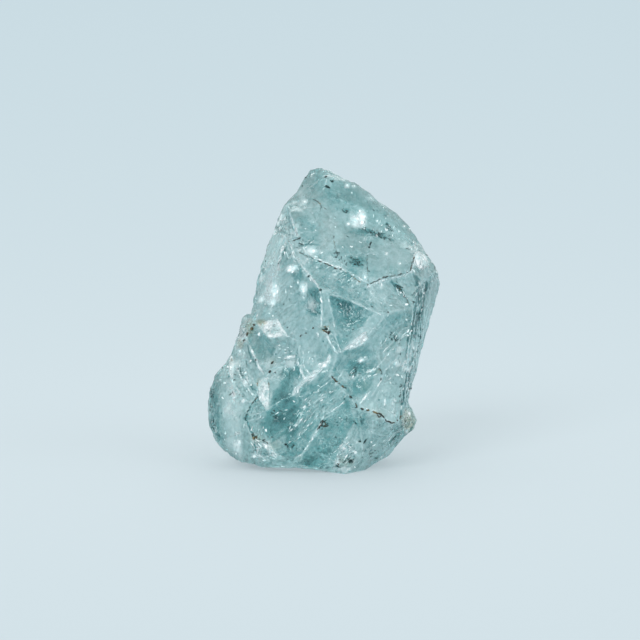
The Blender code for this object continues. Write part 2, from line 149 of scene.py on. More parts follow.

# Patches of the broad side. Their paleness holds painted light and shade along with the stone's own
# milky and deeper zones: the bright patches are largely painted sheen, and the dark ones largely
# painted shade. Each has: how much paler (below zero, deeper) the stone is there, how soft its edge
# is, how broken its surface is, the way its streaks run, and its corners.
PATCHES = {
    "top": (-0.02, 3, 0.35, 60, [(289, 213), (300, 183), (318, 167), (345, 180), (385, 203), (418, 240),
        (413, 256), (410, 270), (385, 277), (368, 285), (340, 270), (311, 257), (298, 237)]),
    "crest_shade": (-0.07, 4, 1, 60, [(290, 214), (306, 216), (322, 232), (318, 242), (300, 238)]),
    "brow_shade": (-0.06, 8, 1, 30, [(330, 190), (352, 196), (356, 212), (336, 214), (322, 200)]),
    "tip_shade": (0.02, 5, 1, 30, [(308, 172), (325, 169), (336, 184), (318, 192), (306, 186)]),
    "top_mist": (0.1, 7, 1, 60, [(318, 228), (334, 218), (342, 238), (332, 252), (316, 250)]),
    "top_right_mist": (0.05, 8, 1, 40, [(392, 225), (412, 240), (410, 262), (380, 272), (378, 248)]),
    "top_low_shade": (-0.08, 6, 1, 30, [(346, 256), (362, 254), (366, 266), (352, 270)]),
    "chip": (0.18, 2, 1.6, 120, [(289, 213), (280, 218), (274, 232), (284, 240), (298, 237)]),
    "under_chip": (0.04, 2, 1.2, 100, [(284, 241), (299, 238), (311, 257), (303, 266), (291, 246)]),
    "left_edge": (0.16, 4, 0.7, 80, [(274, 232), (284, 241), (281, 262), (262, 268), (268, 246)]),
    "heart_shade": (-0.13, 3, 1, 80, [(294, 262), (302, 262), (304, 278), (297, 286), (292, 276)]),
    "fold_side_mist": (0.29, 5, 1, 80, [(268, 262), (280, 266), (279, 300), (270, 305), (262, 300)]),
    "fold_shade": (-0.05, 3, 1, 80, [(290, 246), (295, 258), (292, 266), (284, 262)]),
    "eye": (-0.2, 5, 1.3, 95, [(311, 290), (319, 286), (322, 300), (321, 316), (309, 314), (306, 302)]),
    "middle": (-0.09, 3, 1.1, 35, [(312, 258), (340, 270), (367, 285), (376, 311), (329, 293), (320, 287),
        (308, 272)]),
    "middle_mist": (0.0, 5, 1, 35, [(340, 276), (364, 284), (362, 298), (346, 292)]),
    "ledge": (-0.02, 3, 0.9, 140, [(369, 286), (410, 272), (416, 287), (413, 310), (378, 312)]),
    "ledge_mist": (0.02, 4, 1, 140, [(376, 283), (386, 280), (390, 304), (380, 302)]),
    "gloss": (0.5, 1.2, 1.8, 60, [(413.6, 255), (418, 251), (427, 256), (428, 266), (421, 271),
        (414.3, 264.3)]),
    "shoulder": (0.07, 3, 1.1, 75, [(412, 240), (421, 243), (436, 272), (437, 280), (424, 282),
        (412, 268)]),
    "dark_corner": (-0.34, 1.2, 0.8, 60, [(412.5, 273), (423.4, 281.2), (416.4, 287)]),
    "prism": (-0.145, 2, 1.0, 92, [(417, 287), (430, 279), (426, 300), (421, 340), (414, 370), (406, 405),
        (401, 408), (406, 375), (410, 340), (413, 306)]),
    "prism_edge": (0.06, 2, 0.5, 95, [(431, 280), (439, 276), (436, 294), (430, 318), (422, 340),
        (424, 310)]),
    "window": (-0.135, 1.3, 0.5, 120, [(328, 294), (375.4, 312.1), (358, 332), (340, 352), (334, 322)]),
    "window_deep": (-0.05, 5, 1, 120, [(329, 295), (352, 303), (352, 322), (338, 330), (333, 310)]),
    "strip": (-0.08, 1.5, 0.4, 95, [(322, 288), (328, 294), (334, 322), (339, 352), (331, 338),
        (328, 318), (321, 318)]),
    "band": (0.07, 1.5, 0.4, 40, [(375.4, 312), (388, 313), (369, 334), (343, 351)]),
    "streak": (0.3, 1.0, 1.6, 40, [(343, 349.6), (356, 338), (365.6, 332.5), (368.6, 338), (362, 345),
        (350, 350)]),
    "right_panel": (-0.08, 2, 0.5, 45, [(388, 313), (412, 310), (410, 337), (398, 352), (376, 353),
        (369, 338)]),
    "glade": (-0.11, 2, 0.9, 45, [(340, 353), (351, 350), (364, 345), (376, 354), (384, 374), (362, 378),
        (330, 374)]),
    "glade_deep": (-0.15, 4, 1, 45, [(347, 358), (362, 362), (362, 372), (350, 374)]),
    "grey_corner": (-0.1, 2, 0.6, 45, [(352, 384), (378, 372), (371, 392), (353, 399)]),
    "apron": (0.07, 2, 0.8, 50, [(378, 372), (398, 352), (408, 345), (404, 380), (400, 412), (388, 422),
        (376, 412), (358, 407), (366, 392)]),
    "apron_top": (0.06, 2, 1.2, 60, [(398, 332), (410, 330), (409, 350), (398, 352)]),
    "flank_gloss": (0.14, 2, 1.4, 80, [(411, 340), (421, 342), (416, 362), (409, 366)]),
    "centre": (0.02, 3, 0.8, 60, [(283, 322), (330, 318), (338, 352), (329, 362), (300, 345)]),
    "quad": (0.16, 1.0, 1.7, 70, [(256.5, 323.5), (278, 318.5), (288.8, 336.6), (267.8, 338.2)]),
    "kite": (-0.11, 1.2, 0.25, 70, [(255.4, 324), (267.8, 338.6), (275.8, 347.2), (271.3, 357.4),
        (265, 363.8), (256, 358.7), (249, 345.9), (247.1, 337.6)]),
    "stained_band": (0.27, 2, 1.8, 80, [(243, 316), (251, 318), (254, 324), (247, 337), (241, 350),
        (234, 350), (239, 328)]),
    "band_mist": (0.15, 3, 1, 80, [(237, 346), (244, 347), (243, 356), (236, 355)]),
    "crackle": (0.03, 3, 1.3, 60, [(276, 342), (300, 338), (303, 354), (284, 362), (270, 368)]),
    "core": (-0.24, 6, 0.5, 70, [(284, 366), (300, 360), (302, 372), (290, 384), (297, 396), (300, 414),
        (294, 436), (268, 438), (262, 424), (270, 408), (272, 394), (281, 384)]),
    "tile": (0.13, 1.0, 1.6, 80, [(258, 380), (268, 376.5), (269.6, 391), (269, 410), (265.5, 409),
        (260, 400), (258, 390)]),
    "plate": (-0.08, 2, 0.6, 30, [(258, 396), (268, 410), (273, 430), (262, 440), (252, 432),
        (245.3, 418)]),
    "sliver": (0.06, 3, 1.0, 120, [(246, 348), (256, 360), (258, 378), (256, 394), (246, 404), (236, 386),
        (232, 362), (238, 350)]),
    "lobe": (-0.05, 4, 0.5, 80, [(230, 357), (238, 388), (247, 402), (244, 418), (254, 438), (246, 456),
        (222, 448), (208, 418), (210, 380)]),
    "lobe_rim": (-0.11, 6, 0.9, 80, [(208, 380), (218, 366), (221, 392), (219, 430), (226, 448),
        (212, 436)]),
    "lobe_mist": (0.21, 6, 1, 80, [(228, 380), (240, 394), (242, 430), (240, 456), (228, 440), (224, 404)]),
    "shards": (0.08, 2, 1.8, 60, [(256, 440), (268, 442), (279, 454), (266, 464), (250, 458)]),
    "hackles": (-0.15, 3, 1.6, 42, [(330, 360), (354, 398), (332, 410), (320, 424), (302, 454),
        (280, 456), (268, 440), (274, 418), (298, 404), (300, 388)]),
    "foot": (-0.07, 4, 0.8, 20, [(262, 455), (300, 452), (330, 462), (326, 468), (296, 466), (262, 466)]),
    "grey_face": (-0.16, 1.5, 0.35, 60, [(348, 399), (354, 422), (342, 446), (331, 470), (304, 466),
        (303, 453), (316, 432), (323, 416)]),
    "frosted": (0.1, 1.5, 1.7, 60, [(354, 423), (362, 436), (364, 458), (352, 470), (332, 469),
        (342, 445)]),
    "clouded": (-0.02, 3, 1.2, 70, [(356, 410), (388, 422), (400, 424), (392, 446), (368, 460),
        (360, 434)]),
    "heel": (-0.06, 2, 1.2, 100, [(392, 424), (402, 426), (406, 436), (388, 450)]),
    "nub": (0.25, 1.5, 1.5, 80, [(403.3, 408.8), (407.6, 405.2), (413, 412), (418, 421.5), (411.8, 432),
        (405.2, 437), (399.7, 424)]),
}

# The corners of the thin rim of the top, which gets the same painted rim shade as the flanks seen edge on
THIN_RIM = [
    (312, 168), (335, 176), (352, 186), (385, 205), (418, 243), (404, 250), (384, 230), (352, 212),
    (320, 196),
]

# Round milky veils and painted glints (above zero), and painted shade and dark clouds (below zero):
# across, down, half-widths, and how much paler the stone is there
ROUND_VEILS_GLINTS_AND_SHADES = {
    "veil": (361.5, 218.5, 5, 9, 0.62), "veil_left": (354, 221, 5, 6, 0.3),
    "veil_glint": (348, 224, 2, 2, 0.4), "veil_shade": (362, 232, 14, 4, -0.13),
    "speckles": (378, 235, 9, 3, -0.12), "fleck": (377, 235.2, 1.4, 2, 0.5),
    "rim_glint_1": (347.5, 185, 2.2, 2, 0.4), "rim_glint_2": (353.5, 186.5, 2.5, 1.8, 0.3),
    "rim_mist": (371, 198.5, 3, 2.5, 0.2), "tip_mist": (304, 202, 3, 2.5, 0.25),
    "tip_mist_2": (300, 194, 3, 4, 0.14), "crest_mist": (312, 251, 5, 5, 0.25),
    "crest_mist_2": (319, 252, 4, 3, 0.15), "heart": (292, 268.5, 5, 4, 0.5),
    "heart_2": (303, 288, 3.2, 5, 0.5), "heart_tail": (304, 297, 1.5, 4, 0.3),
    "heart_3": (298, 282, 1.3, 2.5, 0.4), "fold_veil": (274, 292, 4, 8, 0.25),
    "fold_veil_low": (273, 300, 2.5, 4, 0.25), "left_glint": (261.5, 299, 3, 2.5, 0.4),
    "left_glint_2": (256, 298, 1.3, 1.5, 0.3), "chip_glint": (283, 218, 3, 3, 0.4),
    "chip_glint_2": (280, 223, 1.5, 2, 0.3), "vee_mist": (365, 278, 2.2, 5, 0.28),
    "vee_mist_2": (381, 284, 2, 4, 0.25), "ring_cloud_1": (387, 224, 2, 1.6, -0.3),
    "ring_cloud_2": (391, 230, 2.2, 2, -0.25), "top_cloud": (357, 262, 6, 4, -0.14),
    "brow_cloud": (346.5, 211, 3.5, 2.5, -0.15), "gloss_glint": (417, 258, 4, 4, 0.2),
    "shoulder_glint": (427, 262, 2.5, 3, 0.2), "top_glint": (386.6, 253.8, 1.6, 1.8, 0.3),
    "top_glint_2": (399.6, 263.6, 2, 1.5, 0.25), "top_glint_3": (377, 221, 1.4, 1.4, 0.35),
    "edge_glint": (404, 226.5, 1.8, 1.4, 0.35), "edge_glint_2": (409.5, 229, 1.3, 1.3, 0.3),
    "glade_glint": (361.5, 360.5, 3.5, 2.5, 0.45), "glade_glint_2": (365.5, 357, 1.5, 1.4, 0.35),
    "panel_glint": (381, 343, 1.5, 2, 0.4), "flank_glint": (413, 364, 2, 2, 0.45),
    "flank_glint_2": (407, 368, 2.4, 2.2, 0.5), "apron_glint": (385, 402, 2, 3.4, 0.38),
    "apron_glint_2": (393, 403, 1.6, 1.8, 0.32), "apron_glint_3": (395, 399.5, 1.2, 1.6, 0.3),
    "apron_mist": (395, 363, 3, 3, 0.2), "spark_1": (325.5, 364, 3, 3.4, 0.3),
    "spark_2": (329.5, 358, 1.6, 4, 0.4), "spark_3": (313, 378, 5, 5.5, 0.15),
    "spark_4": (297, 391, 3, 5, 0.2), "lobe_glint": (232, 366, 2.2, 9, 0.35),
    "lobe_glint_2": (233.5, 400, 1.6, 2, 0.4), "lobe_glint_3": (243, 401, 2, 2, 0.35),
    "lobe_mist_low": (238, 447, 4, 8, 0.22), "sliver_glint": (246, 381, 2.5, 4, 0.28),
    "toe_glint": (254, 455.5, 2.6, 2.2, 0.4), "toe_glint_2": (266.5, 445.5, 2.2, 2, 0.4),
    "frost_glint": (344, 449, 2.5, 2.5, 0.3), "frost_glint_2": (338, 463, 2.2, 2.8, 0.35),
    "frost_glint_3": (355, 452, 2, 2.5, 0.25), "nub_glint": (407.5, 413, 2.4, 2.2, 0.3),
    "nub_glint_2": (406.5, 429.5, 2.3, 2.2, 0.4), "band_spot": (240, 351, 3.5, 3, 0.3),
    "strip_shade": (334, 344, 8, 9, -0.12), "spark_shade": (306, 374, 9, 10, -0.15),
    "clouded_deep": (360, 425, 9, 14, -0.14), "knot_cloud": (350, 404, 8, 6, -0.14),
    "corner_shade": (354, 388, 9, 8, -0.14), "shoulder_mist": (429, 277, 10, 8, 0.14),
    "brow_shade": (350, 274, 8, 5, -0.09), "middle_shade": (350, 297, 8, 8, -0.08),
    "glade_mist": (349, 358, 6, 5, 0.1), "lobe_shade": (229, 406, 5, 9, -0.09),
    "lobe_mist_foot": (231, 443, 6, 7, 0.09), "tip_mist_3": (302, 190, 5, 6, 0.09),
    "prism_shade": (421, 322, 5, 11, -0.09), "veil_foot": (362, 227, 7, 4, 0.08),
    "flank_shade": (409, 382, 4, 12, -0.14), "band_pale": (242, 334, 5, 9, 0.12),
    "spark_shade_2": (324, 356, 9, 7, -0.11), "core_middle": (283, 400, 8, 9, -0.13),
    "core_foot": (278, 432, 8, 6, 0.08), "arc_shade": (290, 358, 7, 4, -0.09),
    "chip_shade": (278, 250, 4, 6, -0.08), "band_shade": (376, 321, 6, 5, -0.09),
    "lobe_pale": (241, 453, 5, 6, 0.09), "sliver_pale": (242, 406, 5, 6, 0.08),
    "waist_pale": (242, 358, 5, 7, 0.09), "apron_pale": (410, 358, 5, 7, 0.08),
    "eye_shade": (314, 308, 5, 7, -0.08), "window_corner": (362, 310, 6, 4, -0.1),
    "core_ripple": (279, 417, 5, 3, -0.08), "rim_cloud": (213, 397, 3, 10, -0.14),
    "rim_cloud_2": (211.5, 421, 2.5, 6, -0.16), "grey_cloud": (325, 448, 8, 8, -0.05),
    "foot_cloud": (291, 445, 4, 3, -0.1), "frost_cloud": (350, 461.5, 2.4, 1.6, -0.16),
    "frost_cloud_2": (337, 466, 1.8, 2.2, -0.3), "clouded_cloud": (364.6, 441.5, 1.0, 1.8, -0.2),
    "clouded_cloud_2": (359.8, 441, 1.0, 1.0, -0.2), "window_cloud": (346.5, 309, 5, 6, -0.1),
    "ledge_cloud": (398, 287, 3, 2.2, -0.2),
}

# Fine bright edges and streaks, partly painted highlights, and fine deep ones, partly painted shade:
# half-width, how much paler, and the course
FINE_LIGHT_AND_SHADE_LINES = {
    "speckle_band": (1.8, -0.15, [(360, 229), (370, 232), (380, 235.5), (394, 240)]),
    "vee_light": (0.7, 0.25, [(313, 257.5), (330, 264.2), (346, 270.5), (360, 278.5), (368, 283)]),
    "vee_light_right": (0.9, 0.4, [(368, 286.5), (377, 282.8), (386, 279), (397, 277), (405, 275.2),
        (411, 272)]),
    "vee_light_up": (0.8, 0.35, [(411, 272), (413.2, 266), (415, 260), (417, 253), (415, 244)]),
    "fold_side": (0.7, 0.3, [(283, 246), (280.5, 254), (278.5, 262), (279, 270)]),
    "fold_side_shade": (0.8, -0.12, [(284.5, 250), (282, 258), (280, 266)]),
    "fold_inner": (0.7, 0.22, [(287, 245), (291, 253), (294, 262), (299, 270)]),
    "crest_fork": (0.7, 0.28, [(275, 231), (280, 230), (284, 233), (286.5, 238), (290, 244)]),
    "crest_shadow": (0.7, -0.22, [(289, 218), (292, 226), (295, 232)]),
    "lobe_white": (1.8, 0.26, [(231, 358), (230.5, 370), (231.5, 384), (234, 396)]),
    "sliver_1": (0.7, 0.25, [(236, 366), (241, 378), (249, 390), (254, 395)]),
    "sliver_2": (0.7, -0.22, [(238, 364), (243, 376), (251, 387), (256, 391)]),
    "sliver_3": (0.7, 0.25, [(242, 372), (246, 378), (249, 386)]),
    "sliver_4": (0.7, 0.22, [(244, 370), (251, 377), (257, 386)]),
    "kite_arc": (0.8, 0.3, [(250, 345), (252.3, 351), (255.5, 358), (259, 365), (262.5, 372)]),
    "spark_blade": (2.0, 0.34, [(293, 394), (298, 387), (303, 383)]),
    "spark_blade_2": (2.2, 0.36, [(303, 382), (309, 377), (316, 371.5)]),
    "spark_blade_3": (1.8, 0.38, [(319.5, 366), (324, 364.5), (328, 359)]),
    "toe_1": (0.8, 0.4, [(252, 440), (258, 448), (256, 456), (251, 456.5)]),
    "toe_2": (0.8, 0.38, [(263, 443), (270, 449), (277, 457)]),
    "toe_3": (0.7, -0.3, [(254, 442), (256, 449), (252, 452)]),
    "toe_4": (0.8, 0.34, [(258, 455), (264, 458), (270, 455), (276, 457)]),
    "tile_line": (0.7, 0.3, [(257.6, 392), (261, 400), (266, 409)]),
    "panel_streak": (0.7, 0.22, [(408, 330), (398, 342), (388, 354), (378, 366)]),
    "panel_streak_2": (0.7, 0.2, [(404, 328), (392, 342), (384, 352)]),
    "apron_side": (0.9, 0.22, [(372, 396), (380, 382), (384, 372), (398, 356)]),
    "flank_1": (0.9, 0.3, [(414, 338), (411, 348), (406, 358), (403, 366)]),
    "flank_2": (0.8, -0.24, [(418, 350), (412, 360), (407, 372), (404, 388), (402, 402)]),
    "flank_3": (0.8, 0.26, [(420, 343), (415, 352), (411, 360)]),
    "prism_dark": (1.2, -0.22, [(417, 290), (415, 300), (414, 316), (411, 330)]),
    "nub_outline": (0.9, -0.28, [(401, 410), (400.5, 420), (403, 432), (406, 437)]),
    "facet_side": (0.8, -0.35, [(412, 327), (408, 338), (407, 348), (405.5, 360)]),
    "facet_low": (0.8, -0.35, [(413, 364), (410, 374), (408, 386)]),
    "facet_high": (0.8, -0.35, [(416, 333), (421, 338)]),
    "facet_ring": (0.7, -0.3, [(411, 346), (413, 352), (417, 352)]),
    "facet_rib": (1.0, -0.4, [(405, 384), (403, 396), (401.5, 405)]),
    "nub_spot": (0.9, -0.5, [(406.5, 409), (408, 412), (408.5, 417)]),
    "nub_side": (1.0, -0.35, [(412, 416), (413, 424), (410, 432)]),
    "nub_line": (0.9, 0.35, [(405, 409), (410, 414), (411, 422), (408, 432)]),
    "fold_ridge": (0.9, 0.35, [(290.6, 244.7), (294.6, 256.7), (301, 265), (308.7, 273.5), (318.7, 287),
        (322, 303), (321.4, 327)]),
    "crest_ridge": (0.8, 0.45, [(289.7, 213), (293.5, 224), (298, 236.7)]),
    "chip_foot": (0.8, 0.3, [(276.6, 231), (281, 234), (285.5, 237), (286, 241), (285, 246), (282, 252)]),
    "chip_shade": (0.8, -0.25, [(279.5, 232), (283, 232.5), (287, 233.8)]),
    "left_line": (0.7, 0.25, [(284.5, 247), (282, 252), (281, 257), (280, 262), (278, 268)]),
    "left_shade": (0.8, -0.12, [(286, 247), (283.5, 252.5), (280, 258), (279, 262)]),
    "window_top": (0.9, 0.25, [(327, 294), (338, 296), (352, 302), (375.4, 312.1), (380, 314)]),
    "window_side": (0.8, 0.18, [(328, 294), (330, 306), (333, 320), (336, 338), (340, 352)]),
    "strip_side": (0.9, 0.25, [(327, 333), (329, 341), (333, 348), (337, 353)]),
    "streak_top": (0.9, 0.25, [(341, 352), (350, 346), (358, 337), (366, 332)]),
    "band_line": (0.8, 0.12, [(388, 314), (378, 324), (369, 334)]),
    "grey_edge": (1.0, 0.32, [(347.9, 398.3), (341.9, 404.3), (332.5, 410.3), (323.8, 415.7),
        (321.1, 422.4), (315.8, 432.4), (309.1, 443.8), (302.8, 453.6), (296, 458)]),
    "frost_edge": (0.7, 0.12, [(354.2, 422.7), (347.6, 434.8), (340.9, 446.4), (336.1, 457.9),
        (331.8, 468.2)]),
    "sparks": (1.2, 0.26, [(330.5, 357), (327, 363), (320, 369), (311.4, 376.6), (303, 384), (295.2, 391)]),
    "sparks_low": (0.9, 0.3, [(318.5, 371), (313, 379), (307, 384)]),
    "spark_mid": (0.8, 0.3, [(303, 352), (304, 358), (303, 364), (306, 370), (311, 375)]),
    "hackle_1": (0.7, 0.22, [(336, 376), (326, 384), (316, 392), (304, 401)]),
    "hackle_2": (0.7, 0.25, [(310, 402), (303, 411), (296, 424), (288, 432)]),
    "hackle_3": (0.6, 0.2, [(327, 396), (318, 400), (309, 405)]),
    "hackle_4": (0.6, 0.2, [(318, 408), (311, 414), (305, 420)]),
    "hackle_5": (0.6, 0.22, [(316, 418), (310, 424), (302, 434)]),
    "hackle_6": (0.6, 0.18, [(334, 390), (342, 391), (350, 396)]),
    "lobe_ridge": (1.1, 0.28, [(231.8, 356.8), (230.5, 373.3), (233.1, 379.7), (235.6, 386.1),
        (245.8, 399.5)]),
    "lobe_shade": (0.9, -0.16, [(237, 386), (242, 394), (249, 400)]),
    "plate_edge": (0.8, -0.22, [(258, 396), (251, 405), (245.3, 418.9), (250, 429), (255, 438.4)]),
    "plate_edge_glint": (0.7, 0.25, [(244, 420), (248, 429), (253, 438), (263.7, 443.8), (276.7, 453.6),
        (283, 457)]),
    "plate_line": (0.6, 0.18, [(249, 415), (258, 414), (268, 410)]),
    "plate_line_2": (0.6, 0.15, [(247, 421), (257, 419), (266, 417), (269, 420)]),
    "kite_curve": (0.9, 0.3, [(249.6, 346), (252, 352), (254.7, 357.4), (257.3, 365), (261.8, 371.4)]),
    "kite_curve_shade": (0.8, -0.3, [(247.5, 346), (250.5, 355), (254.5, 362), (257, 366)]),
    "kite_edge": (0.7, 0.15, [(267.8, 338.3), (276, 338), (288.8, 336.6), (297, 341)]),
    "arc": (1.0, 0.45, [(284.7, 358.7), (288, 356.5), (294.3, 356.4)]),
    "arc_2": (0.9, 0.35, [(293, 366), (295, 370)]),
    "arc_3": (1.0, 0.4, [(297.5, 362), (300, 368), (303, 375), (304, 378)]),
    "arc_4": (1.0, 0.3, [(317, 333), (318, 337)]),
    "panel_line": (0.8, 0.12, [(382, 372), (372, 376), (362, 378)]),
    "panel_line_2": (0.8, 0.12, [(379, 366), (371, 372), (362, 377.5)]),
    "corner_line": (0.7, 0.28, [(370, 391), (365, 397), (360, 404)]),
    "glade_line": (0.8, 0.2, [(343.5, 370), (341, 375), (338, 380)]),
    "apron_edge": (0.9, 0.15, [(360, 406), (367, 409), (375, 411)]),
    "prism_ridge": (0.9, 0.2, [(424, 281), (418, 286), (413.5, 306), (411.8, 324), (409, 340), (405, 378),
        (401, 409)]),
    "prism_shade_1": (1.0, -0.2, [(431, 277), (426, 290), (422, 305), (419, 320)]),
    "prism_shade_2": (1.0, -0.22, [(417, 289), (415, 304), (413.5, 320), (412, 338)]),
    "prism_shade_3": (0.8, -0.2, [(421, 286), (418.5, 300), (417, 318), (415, 334), (413, 342)]),
    "prism_glint_1": (0.8, 0.2, [(424, 284), (421, 296), (419.5, 310)]),
    "flank_shade_1": (1.0, -0.22, [(417, 350), (413, 362), (410, 376), (407, 392)]),
    "flank_shade_2": (0.9, -0.2, [(407, 374), (404.5, 388), (402.5, 404)]),
    "flank_glint_line": (0.8, 0.22, [(414, 366), (410, 380), (407, 396), (404, 404)]),
    "ledge_shade": (1.3, -0.18, [(392, 282.6), (399, 287.5), (405, 296), (409.8, 306.5)]),
    "heel_shade_1": (0.8, -0.2, [(397, 426), (396, 436), (394, 444)]),
    "heel_shade_2": (0.8, -0.18, [(400, 427), (398.5, 437), (395.5, 447)]),
    "clouded_y": (0.8, -0.3, [(360, 417), (361.8, 424.5), (363.5, 418)]),
    "clouded_dash": (0.8, -0.3, [(354, 421), (356.5, 424)]),
    "clouded_line": (0.6, 0.18, [(373, 420), (372, 432), (382, 435), (388, 436)]),
    "clouded_line_2": (0.6, 0.16, [(390, 434), (386, 440), (376, 444), (366, 450)]),
    "frost_line": (0.7, 0.18, [(342, 440), (350, 447), (358, 455)]),
    "eye_ripple_1": (0.7, -0.2, [(309, 300), (313, 303), (319, 303)]),
    "eye_ripple_2": (0.7, -0.2, [(308, 306), (313, 308.5), (320, 308)]),
    "eye_ripple_3": (0.7, -0.18, [(310, 311.5), (315, 313.5), (320, 312.5)]),
    "crest_arc": (0.8, -0.14, [(302, 246), (310, 244), (320, 245)]),
    "crest_arc_2": (0.8, -0.14, [(300, 252), (308, 257), (314, 258)]),
}

# Fine shell-like ripples on the breaks: the centre they run round, how far apart they are,
# how deep, and the corners of the patch that shows them
RIPPLES = {
    "window": (296, 350, 3.0, 0.3, [(328, 293), (352, 302), (362, 311), (352, 316), (338, 309),
        (331, 306)]),
    "window_eye": (347.5, 313, 2.7, 0.3, [(338, 301), (352, 302), (362, 308), (361, 320), (352, 326),
        (341, 320)]),
    "eye": (344, 300, 2.9, 0.28, [(307, 290), (320, 286), (322, 300), (321, 316), (308, 314), (305, 302)]),
    "middle": (347, 296, 2.6, 0.13, [(334, 280), (348, 278), (350, 290), (338, 292)]),
    "crest": (330, 286, 2.7, 0.11, [(296, 238), (322, 240), (324, 262), (310, 258)]),
    "left": (236, 268, 3.0, 0.09, [(288, 262), (306, 276), (312, 290), (300, 316), (288, 300)]),
    "top": (352, 280, 2.6, 0.11, [(344, 253), (366, 253), (368, 266), (346, 268)]),
    "ledge": (376, 320, 2.6, 0.14, [(391, 280), (400, 284), (410, 304), (402, 302), (394, 292)]),
    "core": (279, 426, 2.6, 0.1, [(268, 408), (290, 410), (292, 424), (268, 424)]),
    "core_high": (250, 400, 3.0, 0.14, [(276, 372), (298, 362), (300, 392), (284, 404)]),
    "glade": (392, 392, 3.0, 0.11, [(344, 352), (366, 350), (378, 366), (352, 376)]),
    "heel": (470, 432, 2.8, 0.16, [(390, 424), (404, 424), (404, 440), (388, 450)]),
    "clouded": (470, 440, 3.4, 0.1, [(362, 412), (388, 424), (390, 444), (366, 458)]),
    "apron": (470, 330, 3.4, 0.08, [(378, 374), (398, 356), (403, 380), (398, 410), (376, 408)]),
    "panel": (460, 250, 3.4, 0.06, [(388, 315), (410, 312), (408, 338), (386, 352), (374, 342)]),
    "lobe_rim": (300, 400, 3.2, 0.16, [(208, 372), (219, 366), (219, 404), (222, 440), (208, 430)]),
    "lobe": (180, 380, 3.4, 0.06, [(222, 372), (236, 392), (246, 410), (244, 450), (224, 444)]),
    "foot": (300, 520, 3.0, 0.1, [(262, 453), (300, 452), (326, 462), (298, 468), (262, 466)]),
    "sliver": (210, 330, 2.8, 0.14, [(238, 350), (250, 352), (258, 376), (256, 396), (240, 392)]),
    "crackle": (330, 300, 3.0, 0.1, [(274, 342), (300, 340), (304, 356), (280, 366)]),
    "grey_face": (250, 380, 3.6, 0.05, [(346, 402), (352, 424), (334, 462), (306, 462), (320, 424)]),
    "gloss": (440, 240, 3.6, 0.24, [(413.6, 255), (418, 251), (427, 256), (428, 266), (421, 271),
        (414.3, 264.3)]),
    "chip": (300, 205, 3.2, 0.24, [(289, 213), (280, 218), (274, 232), (284, 240), (298, 237)]),
    "left_band": (290, 300, 3.4, 0.14, [(243, 316), (251, 318), (254, 324), (247, 337), (241, 350),
        (234, 350)]),
    "nub": (380, 440, 4.2, 0.3, [(403, 408), (408, 406), (413, 412), (418, 421), (412, 431), (405, 436),
        (400, 424)]),
    "shoulder": (470, 200, 3.4, 0.2, [(413, 268), (421, 262), (434, 272), (436, 281), (424, 284)]),
    "toe": (300, 400, 3.4, 0.16, [(254, 440), (268, 442), (278, 455), (264, 462), (251, 457)]),
    "frost": (330, 430, 2.6, 0.18, [(354, 426), (362, 438), (362, 460), (350, 468), (334, 468),
        (344, 446)]),
}

# Where the stone is stained by iron: across, down, half-widths and strength
STAINS = {
    "quad": (261, 322.5, 6, 3.5, 0.9), "band": (250, 328, 5, 10, 0.5), "waist": (240, 344, 4, 6, 0.4),
    "ring": (324, 329, 6, 4, 0.35), "nub": (409, 421, 8, 14, 0.75), "tile": (258, 381, 2.5, 5, 0.4),
    "kite": (273, 361, 4, 6, 0.2), "toe": (256, 438, 7, 4, 0.4), "corner": (365, 386, 5, 6, 0.3),
    "triangle": (378.5, 371, 3, 3, 0.4), "frost": (346, 462, 10, 6, 0.25), "seam": (378, 414, 8, 5, 0.25),
    "foot": (305, 458, 14, 5, 0.12), "apron_foot": (275, 445, 8, 6, 0.2), "lobe": (231.5, 361, 2, 4, 0.3),
}


def read(items, name, width=3, kind=float):
    """One property of every item, in rows."""
    values = np.empty(len(items) * width, kind)
    items.foreach_get(name, values)
    return values.reshape(-1, width)


def paint(mesh, name, values):
    """Give every vertex of a mesh its value in a named layer."""
    mesh.attributes.new(name, "FLOAT", "POINT").data.foreach_set("value", values)


def squareness_of(places, facings, azimuth=0.0):
    """How squarely each place faces the eye: 1 square on, and 0 edge on."""
    way = np.array(sight(azimuth)[0]) - places
    way /= np.linalg.norm(way, axis=1)[:, None]
    return (facings * way).sum(axis=1)


def smooth_step(low, high, value):
    """0 below low, 1 above high, and a smooth rise between."""
    share = np.clip((value - low) / (high - low), 0.0, 1.0)
    return share * share * (3.0 - 2.0 * share)


def far_from_line(spots, course):
    """How far each flat spot is from a line through points."""
    nearest = np.full(len(spots), 1e9)
    for start, end in zip(course[:-1], course[1:]):
        start = np.array(start, float)
        run = np.array(end, float) - start
        share = np.clip((spots - start) @ run / (run @ run), 0.0, 1.0)
        gap = spots - (start + share[:, None] * run)
        nearest = np.minimum(nearest, np.hypot(gap[:, 0], gap[:, 1]))
    return nearest


def within_ring(spots, ring, softness):
    """1 for the flat spots inside a ring of corners, 0 outside, soft across its edge."""
    inside = np.zeros(len(spots), bool)
    for (ax, ay), (bx, by) in zip(ring, ring[1:] + ring[:1]):
        if ay == by:
            continue
        crosses = (spots[:, 1] < ay) != (spots[:, 1] < by)
        left_of = spots[:, 0] < ax + (spots[:, 1] - ay) * (bx - ax) / (by - ay)
        inside ^= crosses & left_of
    gap = far_from_line(spots, ring + ring[:1])
    return smooth_step(-softness, softness, np.where(inside, gap, -gap))


def oval_gap(spots, across, down, half_wide, half_high, turn=0.0):
    """How far each flat spot is from the middle of an oval turned by some degrees: 1 on its rim."""
    cosine = math.cos(math.radians(turn))
    sine = math.sin(math.radians(turn))
    x = spots[:, 0] - across
    y = down - spots[:, 1]
    return np.hypot((x * cosine + y * sine) / half_wide, (y * cosine - x * sine) / half_high)


def stain_at(spots):
    """How much iron has stained the stone at each flat spot."""
    share = np.zeros(len(spots))
    for across, down, half_wide, half_high, strength in STAINS.values():
        gap = oval_gap(spots, across, down, half_wide, half_high)
        share += strength * (1.0 - smooth_step(0.3, 1.3, gap))
    return share


